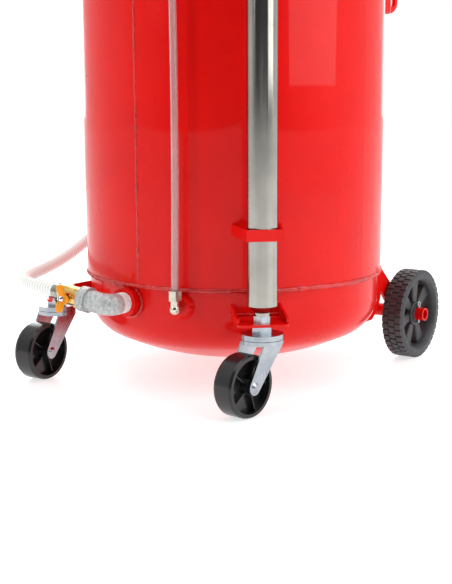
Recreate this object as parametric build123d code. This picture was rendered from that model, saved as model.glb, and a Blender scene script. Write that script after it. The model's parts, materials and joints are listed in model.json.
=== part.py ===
"""Wheeled oil drainer: a pressure tank on two rear wheels and two front casters.

The frame has +Z up, -Y to the front and +X to the right. The origin lies on the floor under the
centre of the object. All sizes are in millimetres and all angles in degrees.
"""
import os
from math import asin, cos, degrees, pi, radians, sin, sqrt, tan

from build123d import *

# ---- tank ----
TANK_R = 200.0           # outside radius of the shell
WALL = 3.0               # plate of the shell and of the heads
SHELL_L = 480.0          # length of the rolled shell
GROUND_GAP = 19.5        # lowest point of the bottom head above the floor
CROWN_R = 393.0          # outside crown radius of a head
KNUCKLE_R = 50.0         # outside knuckle radius of a head
FLANGE_SHOW = 37.5       # straight flange seen between shell and knuckle
LAP = 25.0               # length of the flange that sits inside the shell
LAP_GAP = 0.5            # radial gap between shell and flange
WELD_LEG = 6.0           # height of the fillet weld under the shell's edge

HEAD_R = TANK_R - WALL - LAP_GAP
HEAD_DEPTH = CROWN_R - sqrt((CROWN_R - KNUCKLE_R) ** 2 - (HEAD_R - KNUCKLE_R) ** 2)
TANGENT_Z = GROUND_GAP + HEAD_DEPTH
SHELL_Z = TANGENT_Z + FLANGE_SHOW
SHELL_TOP = SHELL_Z + SHELL_L
TOP_TANGENT_Z = SHELL_TOP + FLANGE_SHOW
DOME_TOP = TOP_TANGENT_Z + HEAD_DEPTH

# ---- clearances ----
RUN_GAP = 0.05           # radial gap of a shaft that turns in its bore
FREE_GAP = 0.3           # gap between faces that move past each other
SNUG_GAP = 0.1           # gap between pieces that are pushed together

# ---- front casters ----
STEM_OUT = 43.0          # swivel axis outside the shell
STEM_ANGLE = 43.0        # swivel axis to either side of the front
CASTER_H = 103.0         # floor to the underside of the bracket
CASTER_R = 37.5
CASTER_W = 27.0
TRAIL = 34.0             # swivel axis to wheel axle
LEFT_TURN = 3.0          # how each caster stands at rest
RIGHT_TURN = -6.5
RIM_WALL = 5.5           # caster wheel rim, measured radially
RIM_CROWN = 1.5          # how far the tread falls off at its edges
WEB_T = 7.0
HUB_R = 9.5
HUB_W = 28.0
RIVET_R = 4.0
RIVET_HEAD_R = 6.5
RIVET_HEAD_H = 2.5
FORK_T = 2.5
FORK_GAP = 16.0          # middle of the wheel to the inside of a fork leg
FORK_END_R = 9.0         # rounded lower end of a leg
FORK_TOP_HALF = 17.0     # half width of a leg where it leaves the crown
CROWN_T = 5.0
RACE_R = 25.0
RACE_T = 6.0
BALL_R = 2.5
BALL_CIRCLE = 17.5
BALLS = 12
KING_R = 5.0
KING_HEAD_R = 9.0
KING_HEAD_H = 3.0
HEX_H = 9.0
HEX_ACROSS = 22.0
STUD_R = 6.0
NUT_H = 9.0
NUT_ACROSS = 19.0
STUD_SHOW = 8.0          # thread above the nut

STEM_R = TANK_R + STEM_OUT
RACE_Z = CASTER_H - HEX_H - RACE_T
CROWN_Z = RACE_Z - 2 * FREE_GAP - CROWN_T

# ---- caster brackets ----
BRACKET_T = 3.0
BRACKET_HALF = 31.0
BRACKET_OUT = 57.0       # front edge outside the shell
BRACKET_SIDE_BACK = 18.0 # height of the side plates at the tank
BRACKET_SIDE_FRONT = 9.0
BRACKET_CORNER = 8.0
BRACKET_TOP = CASTER_H + BRACKET_T

# ---- rear axle and wheels ----
WHEEL_R = 62.5
WHEEL_W = 30.0
WHEEL_INSET = 20.0       # middle of the wheel inside the shell's side
AXLE_INSET = 17.0        # axle in front of the shell's back
AXLE_R = 9.0
AXLE_WALL = 2.0
AXLE_TIP = 22.0          # axle end beyond the middle of the wheel
STUB_IN = 60.0           # length of the stub axle inside the middle of the wheel
TYRE_T = 16.0
WHEEL_HUB_R = 17.0
WHEEL_HUB_HALF = 10.0    # half length of the hub, from the middle of the wheel
SPOKES = 7
SPOKE_T = 12.0
SPOKE_HUB_W = 10.0
SPOKE_RIM_W = 20.0
PIN_R = 1.6
PIN_OUT = 12.0           # cotter pin's place outside the middle of the wheel
PIN_LEG = 4.0            # cotter pin's legs below the axle
PIN_EYE_R = 3.2          # middle of the wire round the eye
PIN_WIRE_R = 1.12

# ---- axle gussets ----
GUSSET_INSET = 42.0      # inner face of the gusset inside the shell's side
GUSSET_T = 4.0
GUSSET_RISE = 8.0        # how far the strip stands proud of the head
GUSSET_TOP = 34.0        # top of the gusset above the tangent line
GUSSET_ARM = 26.0        # height of the arm where it leaves the tank
GUSSET_DROP = 38.36       # lower end of the strip below the tangent line
BOSS_R = 15.0

# ---- storage tube for the spout ----
HOLSTER_R = 18.0
HOLSTER_WALL = 1.5
HOLSTER_DROP = 59.86      # top of the tube below the shell's top
HOLSTER_NECK_R = 10.0
HOLSTER_NECK_H = 4.0
HOLSTER_TAPER_H = 8.0
STRAP_H = 13.5
STRAP_T = 3.0
STRAP_LOW_Z = 211.0
STRAP_DROP = 55.0        # upper strap below the top of the tube
STRAP_FRONT_HALF = 20.0
STRAP_BASE_HALF = 27.5

# ---- sight tube ----
SIGHT_ANGLE = 16.3
SIGHT_OUT = 19.0         # tube axis outside the shell
SIGHT_LOW_Z = 116.0
SIGHT_DROP = 19.86        # upper fitting below the shell's top
SIGHT_BOSS_R = 12.0
SIGHT_BOSS_OUT = 6.0
ELBOW_R = 6.5
SIGHT_NUT = 15.0
SIGHT_NUT_H = 12.0
SIGHT_NUT_UP = 11.0      # elbow axis to the nut
SIGHT_TUBE_R = 4.5
SIGHT_TUBE_WALL = 1.2
SIGHT_BOW = 2.5
SIGHT_BOW_EASE = 0.25    # extra radius of the nuts' bore for the bowed tube

# ---- drain line ----
DRAIN_X = -21.0
DRAIN_Z = 116.0
DRAIN_TILT = 6.5         # how far the line rises from the elbow to the hose, in degrees
DRAIN_OUT = 36.0         # flow axis outside the shell
WELD_BOSS = 35.0         # octagon, across its flats
WELD_BOSS_OUT = 8.0
MALE_R = 12.0
ELBOW_BODY_R = 13.5
ELBOW_COLLAR_R = 16.0
ELBOW_COLLAR_L = 12.0
ELBOW_REACH = 43.0       # elbow corner to its collar's face
ELBOW_BORE_R = 7.5
ELBOW_SHOULDER = 15.0    # elbow corner to the shoulder behind the male end
ELBOW_BEND = 14.5        # bend radius of the flow axis
PICKUP_R = 8.0
PICKUP_WALL = 1.5
PICKUP_END_Y = -60.0
PICKUP_END_Z = 38.0
PICKUP_TURN_Y = -96.0    # corner of the pipe, behind the boss

# ---- drain valve (flow along X, stem to the front) ----
TAP_BALL_R = 8.0
TAP_BORE_R = 5.0
TAP_WALL = 4.5           # barrel round the ball
TAP_END = 7.0            # from the ball to an end of the body
TAP_HEX = 24.0
TAP_HEX_L = 9.0
TAP_THREAD_L = 8.0       # male thread that goes into the elbow
TAP_THREAD_R = 10.5
TAP_BONNET_R = 7.0
TAP_BONNET_UP = 3.0      # bonnet above the barrel
TAP_STEM_R = 3.0
TAP_STEM_UP = 6.5        # stem above the bonnet
TAP_SEAT_T = 2.4
HANDLE_T = 1.8
HANDLE_HUB_R = 7.0
HANDLE_SPAN = 18.0       # pivot to the tip of a wing
HANDLE_W = 11.5
HANDLE_SWEEP = 5.5       # how far the tips stand forward of the hub
SCREW_HEAD_R = 4.5
SCREW_HEAD_H = 3.0
SCREW_DOME_H = 3.0
SCREW_SLOT_W = 1.2

# ---- hose and what is on it ----
HOSE_R = 8.5
BARB_R = 6.5
BARB_IN = 12.0           # tail inside the hose
BARB_HEX = 17.0
BARB_HEX_L = 6.0
CLAMP_T = 1.0
CLAMP_W = 9.0
CLAMP_IN = 2.0           # from the hose's end to the band
CLAMP_SCREW_R = 3.2
CLAMP_SCREW_L = 14.0
HOSE_POINTS = [
    (-99.5, -236, 124.9), (-123.3, -236, 127.6), (-151, -235, 129.5), (-178, -225, 130.5),
    (-198, -204, 131.5), (-212, -174, 132), (-227, -127, 135), (-241, -72, 144), (-250, -12, 166),
    (-244, 62, 206), (-192, 162, 290), (-107, 229, 372), (-9, 254, 455), (88, 238, 530),
    (171, 187, 577), (224, 110, 600), (252, 22, 622), (250.2, -66.2, 640), (214, -114, 640),
]
SPOUT_R = 8.0
SPOUT_BEND = 50.0
SPOUT_LOW = 330.0
SPOUT_RIM_R = 20.0       # flange that rests on the storage tube
SPOUT_RIM_T = 4.0

# ---- hose hooks ----
HOOK_ZS = {-155.0: 350.0, 155.0: 488.0}
HOOK_R = 4.0
HOOK_REACH = 68.0        # outside the shell
HOOK_UP = 34.0
HOOK_BEND = 12.0

# ---- push handle ----
BAR_R = 11.0
BAR_WALL = 2.0
BAR_X = 135.0
BAR_OUT = 14.0           # bar's axis outside the shell
BAR_DROP = 139.86         # lower ends of the legs below the shell's top
BAR_STRAIGHT = 280.0     # upright length of a leg
BAR_RISE = 120.0         # height of the part that leans back
BAR_BEND = 35.0
GRIP_R = 15.0
GRIP_L = 190.0
TAB_UPS = (30.0, 120.0)  # tabs above the lower ends of the legs
TAB_W = 16.0
TAB_H = 30.0

# ---- column, gland and drop pipe ----
PIPE_R = 14.0
PIPE_WALL = 2.0
PIPE_LOW = 180.0
PIPE_RISE = 134.78        # top of the pipe above the dome
PIPE_FOOT_RIM = 5.0
PIPE_FOOT_H = 10.0
SEAL_T = 6.0             # seal, measured radially
SEAL_H = 10.0
SOCKET_WALL = 10.0
SOCKET_RISE = 40.0       # above the top of the dome
GLAND_WALL = 7.0
GLAND_H = 46.0
GLAND_CAP = 10.0
GLAND_FLUTES = 16
FLUTE_R = 3.5
COLLAR_RIM = 7.0
COLLAR_H = 8.0

# ---- bowl and its valve (flow along Z, lever to the front) ----
BOWL_TAP_BORE_R = 9.5
BOWL_TAP_WALL = 7.0      # barrel round the ball
BOWL_TAP_END = 13.0      # from the ball to an end of the body
BOWL_TAP_HEX_WALL = 5.0
BOWL_TAP_HEX_L = 12.0
BOWL_TAP_BONNET_R = 9.0
BOWL_TAP_BONNET_UP = 6.0 # bonnet above the barrel
BOWL_TAP_STEM_R = 4.0
BOWL_TAP_STEM_UP = 9.0   # stem above the bonnet
LEVER_T = 3.0
LEVER_W = 18.0
LEVER_L = 90.0
BOWL_R = 190.0
BOWL_WALL = 2.0
BOWL_RIM_H = 32.0        # height of the upright rim
BOWL_CONE_H = 80.0
BOWL_SPIGOT_R = 18.0
BOWL_SPIGOT_H = 14.0
SCREEN_R = 110.0
SCREEN_T = 2.0
SCREEN_HOLE_R = 6.0
SCREEN_RINGS = ((30.0, 6), (58.0, 12), (86.0, 18))
SCREEN_KNOB_R = 7.0
SCREEN_KNOB_H = 22.0

# ---- air fittings on the dome ----
AIR_X = -90.0
AIR_Y = -60.0
AIR_BOSS_R = 15.0
AIR_BOSS_RISE = 16.0
AIR_BLOCK = 36.0
AIR_NECK_R = 7.0
AIR_NECK_L = 10.0
GAUGE_R = 26.0
GAUGE_L = 24.0
GAUGE_WALL = 2.0
GAUGE_DIAL = 6.0         # front of the case to the dial
LENS_T = 2.0
NEEDLE_L = 17.0
NEEDLE_W = 1.6
NEEDLE_T = 0.8
NEEDLE_OFF = 1.0         # dial to the back of the needle
SPINDLE_L = 2.4
LENS_IN = 0.5            # front of the case to the lens
NEEDLE_REST = 135.0      # where the needle points at no pressure, in degrees
RELIEF_R = 9.0
RELIEF_H = 28.0
RELIEF_STEM_R = 2.0
RELIEF_RING_R = 10.0
RELIEF_WIRE_R = 1.5
AIR_TAP_BALL_R = 6.5
AIR_TAP_BORE_R = 4.0
AIR_TAP_BODY_R = 10.0
AIR_TAP_HALF = 14.0
AIR_TAP_HEX = 20.0
AIR_TAP_HEX_L = 8.0
AIR_TAP_BONNET_R = 5.5
AIR_TAP_BONNET_H = 12.5
AIR_TAP_STEM_R = 2.5
AIR_TAP_STEM_H = 18.0
AIR_LEVER_L = 42.0
AIR_LEVER_W = 11.0
AIR_LEVER_T = 2.0
PLUG_HEX = 17.0
PLUG_HEX_L = 8.0
PLUG_R = 6.0             # quick-coupling plug
PLUG_NECK_R = 4.6
PLUG_L = 22.0
PLUG_BORE_R = 2.5

# ---- places that follow from the sizes above ----
WHEEL_X = TANK_R - WHEEL_INSET
AXLE_Y = TANK_R - AXLE_INSET
GUSSET_X = TANK_R - GUSSET_INSET
HOLSTER_TOP = SHELL_TOP - HOLSTER_DROP
STRAP_ZS = (STRAP_LOW_Z, HOLSTER_TOP - STRAP_DROP)
SIGHT_HIGH_Z = SHELL_TOP - SIGHT_DROP
DRAIN_Y = -(TANK_R + DRAIN_OUT)
TAP_BODY_R = TAP_BALL_R + TAP_WALL
TAP_HALF = TAP_BALL_R + TAP_END
TAP_BONNET_H = TAP_BODY_R + TAP_BONNET_UP
TAP_STEM_H = TAP_BONNET_H + TAP_STEM_UP
SCREW_TIP = TAP_STEM_H + SCREW_HEAD_H + SCREW_DOME_H
TAP_REACH = ELBOW_REACH + TAP_HALF
FRONT_Y = DRAIN_Y - SCREW_TIP
GRIP_Y = -FRONT_Y - GRIP_R
BAR_LOW = SHELL_TOP - BAR_DROP
BAR_KINK = BAR_LOW + BAR_STRAIGHT
BAR_TOP = BAR_KINK + BAR_RISE
BAR_Y = sqrt((TANK_R + BAR_OUT) ** 2 - BAR_X ** 2)
SOCKET_TOP = DOME_TOP + SOCKET_RISE
GLAND_TOP = SOCKET_TOP + GLAND_CAP
SEAL_R = PIPE_R + SEAL_T
SOCKET_R = SEAL_R + SOCKET_WALL
GLAND_R = SOCKET_R + GLAND_WALL
PIPE_TOP = DOME_TOP + PIPE_RISE
BOWL_TAP_BALL_R = PIPE_R
BOWL_TAP_BODY_R = BOWL_TAP_BALL_R + BOWL_TAP_WALL
BOWL_TAP_HALF = BOWL_TAP_BALL_R + BOWL_TAP_END
BOWL_TAP_HEX = 2 * (PIPE_R + BOWL_TAP_HEX_WALL)
BOWL_TAP_BONNET_H = BOWL_TAP_BODY_R + BOWL_TAP_BONNET_UP
BOWL_TAP_STEM_H = BOWL_TAP_BONNET_H + BOWL_TAP_STEM_UP
BOWL_TAP_Z = PIPE_TOP + BOWL_TAP_HALF - BOWL_TAP_HEX_L
BOWL_Z = BOWL_TAP_Z + BOWL_TAP_HALF
AIR_R = sqrt(AIR_X ** 2 + AIR_Y ** 2)
AIR_DOME_Z = DOME_TOP - CROWN_R + sqrt(CROWN_R ** 2 - AIR_R ** 2)
AIR_Z = AIR_DOME_Z + AIR_BOSS_RISE + AIR_BLOCK / 2
GAUGE_BACK = AIR_Y - AIR_BLOCK / 2 - AIR_NECK_L
GAUGE_FRONT = GAUGE_BACK - GAUGE_L
AIR_TAP_X = AIR_X - AIR_BLOCK / 2 - AIR_TAP_HALF
STEMS = {"left": (-STEM_ANGLE, LEFT_TURN), "right": (STEM_ANGLE, RIGHT_TURN)}


# ---- helpers ----
def rod(start, end, radius):
    """Round bar between two points."""
    span = Vector(*end) - Vector(*start)
    return extrude(Plane(origin=start, z_dir=span) * Circle(radius), span.length)


def tube(start, end, outer, inner):
    """Round tube between two points."""
    return rod(start, end, outer) - rod(start, end, inner)


def prism(start, end, across, sides=6):
    """Bar with a regular section, measured across its flats."""
    span = Vector(*end) - Vector(*start)
    outline = RegularPolygon(across / 2, sides, major_radius=False)
    return extrude(Plane(origin=start, z_dir=span) * outline, span.length)


def cone(start, end, start_radius, end_radius):
    """Round taper between two points."""
    span = Vector(*end) - Vector(*start)
    taper = Cone(start_radius, end_radius, span.length, align=(Align.CENTER, Align.CENTER, Align.MIN))
    return Plane(origin=start, z_dir=span).location * taper


def swept(points, bend, radius):
    """Round bar along straight runs that are joined by arcs of one radius."""
    path = FilletPolyline(*points, radius=bend)
    return sweep(Plane(origin=path @ 0, z_dir=path % 0) * Circle(radius), path)


def spun(*edges):
    """Solid turned about Z from a closed outline given in X and Z."""
    return revolve(Plane.XZ * make_face(list(edges)), Axis.Z)


def turned(points):
    """Solid turned about Z from the corners of its outline."""
    return revolve(Plane.XZ * make_face(Polyline(*points, close=True)), Axis.Z)


def at_angle(angle, shape):
    """Turn a shape that faces the front round the tank."""
    return Rot(0, 0, angle) * shape


def stem_place(side):
    """Place of a caster's swivel axis on the floor."""
    angle, turn = STEMS[side]
    return Pos(STEM_R * sin(radians(angle)), -STEM_R * cos(radians(angle)), 0), turn


def dish(grow, flange):
    """Filled head with its tangent line at Z 0, bulging down, with a straight flange above."""
    rim, knuckle, crown = HEAD_R + grow, KNUCKLE_R + grow, CROWN_R + grow
    slope = degrees(asin((rim - knuckle) / (crown - knuckle)))
    crown_arc = CenterArc((0, CROWN_R - HEAD_DEPTH), crown, 270, slope)
    knuckle_arc = CenterArc((rim - knuckle, 0), knuckle, 270 + slope, 90 - slope)
    low = (0, CROWN_R - HEAD_DEPTH - crown)
    return spun(
        Line((0, flange), low), crown_arc, knuckle_arc,
        Line((rim, 0), (rim, flange)), Line((rim, flange), (0, flange)),
    )


def filled_bottom(grow=0.0):
    """Bottom head as a filled body, grown outwards by some distance."""
    return Pos(0, 0, TANGENT_Z) * dish(grow, FLANGE_SHOW + LAP)


def shell_zone():
    """Shell filled to its axis, with the fillet weld under its lower edge."""
    zone = rod((0, 0, SHELL_Z), (0, 0, SHELL_TOP), TANK_R)
    low = [(0, SHELL_Z - WELD_LEG), (HEAD_R, SHELL_Z - WELD_LEG), (TANK_R, SHELL_Z), (0, SHELL_Z)]
    return zone + turned(low)


def filled_top(grow=0.0):
    """Top head as a filled body."""
    return Pos(0, 0, TOP_TANGENT_Z) * Rot(180, 0, 0) * dish(grow, FLANGE_SHOW + LAP)


# ---- tank ----
def tank_shell():
    """Rolled shell with the weld under and over its edges."""
    shell = tube((0, 0, SHELL_Z), (0, 0, SHELL_TOP), TANK_R, TANK_R - WALL)
    low = [(HEAD_R, SHELL_Z - WELD_LEG), (TANK_R, SHELL_Z), (HEAD_R, SHELL_Z)]
    high = [(HEAD_R, SHELL_TOP + WELD_LEG), (TANK_R, SHELL_TOP), (HEAD_R, SHELL_TOP)]
    return shell + turned(low) + turned(high)


def bottom_head():
    """Dished bottom with the hole behind the drain boss and the sight tube's hole."""
    head = filled_bottom() - filled_bottom(-WALL)
    head -= rod((DRAIN_X, -HEAD_R - WALL, DRAIN_Z), (DRAIN_X, 0, DRAIN_Z), PICKUP_R + SNUG_GAP)
    sight = rod((0, -HEAD_R - WALL, SIGHT_LOW_Z), (0, 0, SIGHT_LOW_Z), SIGHT_TUBE_R)
    return head - at_angle(SIGHT_ANGLE, sight)


def top_head():
    """Dished top with the holes for the column and the air fittings."""
    head = filled_top() - filled_top(-WALL)
    head -= rod((0, 0, TOP_TANGENT_Z), (0, 0, DOME_TOP + WALL), PIPE_R + WALL)
    return head - rod((AIR_X, AIR_Y, TOP_TANGENT_Z), (AIR_X, AIR_Y, DOME_TOP), AIR_NECK_R)


def drain_boss():
    """Octagonal weld boss for the drain line."""
    start = (DRAIN_X, -HEAD_R + WALL, DRAIN_Z)
    end = (DRAIN_X, -TANK_R - WELD_BOSS_OUT, DRAIN_Z)
    boss = prism(start, end, WELD_BOSS, 8) - filled_bottom() - shell_zone()
    return boss - rod(start, end, MALE_R)


def pickup_pipe():
    """Pipe from the drain boss down to the lowest part of the tank."""
    points = [
        (DRAIN_X, -HEAD_R, DRAIN_Z), (DRAIN_X, PICKUP_TURN_Y, DRAIN_Z),
        (DRAIN_X, PICKUP_END_Y, PICKUP_END_Z),
    ]
    bend = 3 * PICKUP_R
    return swept(points, bend, PICKUP_R) - swept(points, bend, PICKUP_R - PICKUP_WALL)


# ---- sight tube ----
def sight_bosses():
    """Weld bosses at the two ends of the sight tube."""
    low = cone((0, -HEAD_R + WALL, SIGHT_LOW_Z), (0, -TANK_R - SIGHT_BOSS_OUT, SIGHT_LOW_Z),
               SIGHT_BOSS_R + 2 * WALL, SIGHT_BOSS_R)
    high = cone((0, -TANK_R + WALL, SIGHT_HIGH_Z), (0, -TANK_R - SIGHT_BOSS_OUT, SIGHT_HIGH_Z),
                SIGHT_BOSS_R + 2 * WALL, SIGHT_BOSS_R)
    low -= filled_bottom()
    high -= rod((0, 0, SHELL_Z), (0, 0, SHELL_TOP), TANK_R)
    for z in (SIGHT_LOW_Z, SIGHT_HIGH_Z):
        bore = rod((0, 0, z), (0, -TANK_R - SIGHT_OUT, z), SIGHT_TUBE_R)
        low -= bore
        high -= bore
    return at_angle(SIGHT_ANGLE, Part() + [low, high])


def sight_elbow(z, up):
    """Elbow from a boss to the sight tube, with its arm up or down."""
    face, axis = -TANK_R - SIGHT_BOSS_OUT, -TANK_R - SIGHT_OUT
    top = z + up * (SIGHT_NUT_UP + SIGHT_NUT_H / 2)
    elbow = rod((0, face, z), (0, axis, z), ELBOW_R) + rod((0, axis, z), (0, axis, top), ELBOW_R - 1)
    elbow += Pos(0, axis, z) * Sphere(ELBOW_R)
    bore = SIGHT_TUBE_R + SNUG_GAP + SIGHT_BOW_EASE
    elbow -= rod((0, axis, z + up * SIGHT_NUT_UP), (0, axis, top + up), bore)
    return elbow - rod((0, face + 1, z), (0, axis, z), SIGHT_TUBE_R - SIGHT_TUBE_WALL)


def sight_elbows():
    """Both elbows of the sight tube."""
    pair = [sight_elbow(SIGHT_LOW_Z, 1), sight_elbow(SIGHT_HIGH_Z, -1)]
    return at_angle(SIGHT_ANGLE, Part() + pair)


def sight_nuts():
    """Compression nuts over the ends of the sight tube."""
    axis, nuts = -TANK_R - SIGHT_OUT, []
    for z, up in ((SIGHT_LOW_Z, 1), (SIGHT_HIGH_Z, -1)):
        start, end = (0, axis, z + up * SIGHT_NUT_UP), (0, axis, z + up * (SIGHT_NUT_UP + SIGHT_NUT_H))
        middle = (0, axis, z + up * (SIGHT_NUT_UP + SIGHT_NUT_H / 2))
        nut = prism(start, end, SIGHT_NUT) - rod(start, middle, ELBOW_R - 1 + SNUG_GAP)
        nuts.append(nut - rod(start, end, SIGHT_TUBE_R + 3 * SNUG_GAP))
    return at_angle(SIGHT_ANGLE, Part() + nuts)


def sight_tube():
    """Clear tube that bows a little to the right."""
    axis = -TANK_R - SIGHT_OUT
    low, high = SIGHT_LOW_Z + SIGHT_NUT_UP + 1, SIGHT_HIGH_Z - SIGHT_NUT_UP - 1
    path = ThreePointArc((0, axis, low), (SIGHT_BOW, axis, (low + high) / 2), (0, axis, high))
    section = Circle(SIGHT_TUBE_R) - Circle(SIGHT_TUBE_R - SIGHT_TUBE_WALL)
    return at_angle(SIGHT_ANGLE, sweep(Plane(origin=path @ 0, z_dir=path % 0) * section, path))


# ---- casters ----
def caster_bracket():
    """Channel bracket, welded to the bottom head, that faces the front."""
    front = -(TANK_R + BRACKET_OUT)
    length = BRACKET_OUT + 2 * WALL + TANK_R - HEAD_R
    plate = Pos(0, front + length / 2, CASTER_H + BRACKET_T / 2) * Box(2 * BRACKET_HALF, length, BRACKET_T)
    plate = fillet(plate.edges().filter_by(Axis.Z).group_by(Axis.Y)[0], BRACKET_CORNER)
    back = front + length
    side = Polyline(
        (front + BRACKET_CORNER, CASTER_H), (back, CASTER_H), (back, CASTER_H + BRACKET_SIDE_BACK),
        (front + BRACKET_CORNER, CASTER_H + BRACKET_SIDE_FRONT), close=True,
    )
    for x in (-BRACKET_HALF, BRACKET_HALF - BRACKET_T):
        plate += Pos(x, 0, 0) * extrude(Plane.YZ * make_face(side), BRACKET_T)
    plate -= rod((0, -STEM_R, 0), (0, -STEM_R, BRACKET_TOP + 1), STUD_R + SNUG_GAP)
    return plate - filled_bottom()


def caster_brackets():
    """Both brackets."""
    return Part() + [at_angle(angle, caster_bracket()) for angle, _ in STEMS.values()]


def ball_groove():
    """Ring that cuts the groove of the ball race."""
    return Pos(0, 0, RACE_Z - FREE_GAP) * Torus(BALL_CIRCLE, BALL_R + FREE_GAP)


def caster_studs():
    """Upper race, hexagon, threaded stud and king pin of each caster, in one piece."""
    stud = rod((0, 0, RACE_Z), (0, 0, RACE_Z + RACE_T), RACE_R) - ball_groove()
    stud += prism((0, 0, RACE_Z + RACE_T), (0, 0, CASTER_H), HEX_ACROSS)
    stud += rod((0, 0, CASTER_H), (0, 0, BRACKET_TOP + NUT_H + STUD_SHOW), STUD_R)
    low = CROWN_Z - FREE_GAP
    stud += rod((0, 0, low), (0, 0, RACE_Z), KING_R)
    stud += rod((0, 0, low - KING_HEAD_H), (0, 0, low), KING_HEAD_R)
    return Part() + [stem_place(side)[0] * stud for side in STEMS]


def caster_balls():
    """Balls of both swivel races."""
    balls = []
    for side in STEMS:
        place, _ = stem_place(side)
        for step in range(BALLS):
            spot = Rot(0, 0, step * 360 / BALLS) * Pos(BALL_CIRCLE, 0, RACE_Z - FREE_GAP)
            balls.append(place * spot * Sphere(BALL_R))
    return Part() + balls


def caster_nuts():
    """Nuts on top of the brackets."""
    nut = prism((0, 0, BRACKET_TOP), (0, 0, BRACKET_TOP + NUT_H), NUT_ACROSS)
    nut -= rod((0, 0, BRACKET_TOP), (0, 0, BRACKET_TOP + NUT_H), STUD_R + SNUG_GAP)
    return Part() + [stem_place(side)[0] * nut for side in STEMS]


def caster_fork():
    """Pressed fork that trails to the front: crown, two tapered legs and their axle holes."""
    fork = rod((0, 0, CROWN_Z), (0, 0, CROWN_Z + CROWN_T), RACE_R)
    half = FORK_GAP + FORK_T
    fork += Pos(0, 0, CROWN_Z + FORK_T / 2) * Box(2 * half, 2 * FORK_TOP_HALF, FORK_T)
    end = Pos(-TRAIL, CASTER_R) * Circle(FORK_END_R)
    top = Pos(0, CROWN_Z + FORK_T / 2) * Rectangle(2 * FORK_TOP_HALF, FORK_T)
    outline = make_hull(end.edges() + top.edges())
    for x in (-half, FORK_GAP):
        fork += Pos(x, 0, 0) * extrude(Plane.YZ * outline, FORK_T)
    fork -= rod((-half, -TRAIL, CASTER_R), (half, -TRAIL, CASTER_R), RIVET_R + SNUG_GAP)
    fork -= rod((0, 0, CROWN_Z - 1), (0, 0, RACE_Z), KING_R + RUN_GAP)
    return fork - ball_groove()


def caster_axle():
    """Rivet through the fork and the wheel."""
    half = FORK_GAP + FORK_T
    axle = rod((-half, -TRAIL, CASTER_R), (half, -TRAIL, CASTER_R), RIVET_R)
    for way in (-1, 1):
        start, end = way * half, way * (half + RIVET_HEAD_H)
        axle += cone((start, -TRAIL, CASTER_R), (end, -TRAIL, CASTER_R), RIVET_HEAD_R, RIVET_HEAD_R / 2)
    return axle


def caster_wheel():
    """One-piece wheel with a recessed web, standing under its fork."""
    half, web, hub = CASTER_W / 2, WEB_T / 2, HUB_W / 2
    bore = RIVET_R + RUN_GAP
    rim = CASTER_R - RIM_WALL
    crown = CASTER_R - RIM_CROWN
    outline = [
        (bore, -hub), (HUB_R, -hub), (HUB_R, -web), (rim, -web), (rim, -half), (crown, -half),
        (CASTER_R, -half + 3), (CASTER_R, half - 3), (crown, half), (rim, half), (rim, web),
        (HUB_R, web), (HUB_R, hub), (bore, hub),
    ]
    return Pos(0, -TRAIL, CASTER_R) * Rot(0, 90, 0) * turned(outline)


def caster_piece(side, shape):
    """Put a caster's piece under its stem, turned as the caster stands."""
    place, turn = stem_place(side)
    return place * Rot(0, 0, turn) * shape


# ---- rear axle and wheels ----
def axle_gussets():
    """Plates that follow the bottom head and carry the stub axles."""
    top = TANGENT_Z + GUSSET_TOP
    low = TANGENT_Z - GUSSET_DROP
    inner = sqrt(HEAD_R ** 2 - GUSSET_X ** 2)
    strip = filled_bottom(GUSSET_RISE)
    reach = Polyline(
        (inner / 2 - GUSSET_RISE, low), (AXLE_Y, low), (AXLE_Y, top),
        (inner / 2 - GUSSET_RISE, top), close=True,
    )
    boss = Pos(AXLE_Y, WHEEL_R) * Circle(BOSS_R)
    root = Pos(inner + 2, top - GUSSET_ARM / 2) * Rectangle(4, GUSSET_ARM)
    arm = make_hull(boss.edges() + root.edges())
    gussets = []
    for x in (-GUSSET_X - GUSSET_T, GUSSET_X):
        plate = strip & (Pos(x, 0, 0) * extrude(Plane.YZ * make_face(reach), GUSSET_T))
        plate += Pos(x, 0, 0) * extrude(Plane.YZ * arm, GUSSET_T)
        plate -= filled_bottom() + shell_zone()
        gussets.append(plate - rod((x, AXLE_Y, WHEEL_R), (x + GUSSET_T, AXLE_Y, WHEEL_R), AXLE_R))
    return Part() + gussets


def rear_axles():
    """Tubular stub axles, cross-drilled for the cotter pins."""
    stubs = []
    for way in (-1, 1):
        start = (way * (WHEEL_X - STUB_IN), AXLE_Y, WHEEL_R)
        end = (way * (WHEEL_X + AXLE_TIP), AXLE_Y, WHEEL_R)
        pin_x = way * (WHEEL_X + PIN_OUT)
        stub = tube(start, end, AXLE_R, AXLE_R - AXLE_WALL)
        hole = rod((pin_x, AXLE_Y, 0), (pin_x, AXLE_Y, 2 * WHEEL_R), PIN_R + SNUG_GAP)
        stubs.append(stub - hole)
    return Part() + stubs


def split_pins():
    """Cotter pins that keep the rear wheels on."""
    pins = []
    for way in (-1, 1):
        x = way * (WHEEL_X + PIN_OUT)
        top = WHEEL_R + AXLE_R + PIN_R
        pin = rod((x, AXLE_Y, WHEEL_R - AXLE_R - PIN_LEG), (x, AXLE_Y, top), PIN_R)
        eye = Pos(x, AXLE_Y, top + PIN_EYE_R) * Rot(0, 90, 0) * Torus(PIN_EYE_R, PIN_WIRE_R)
        pins.append(pin + eye)
    return Part() + pins


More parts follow.
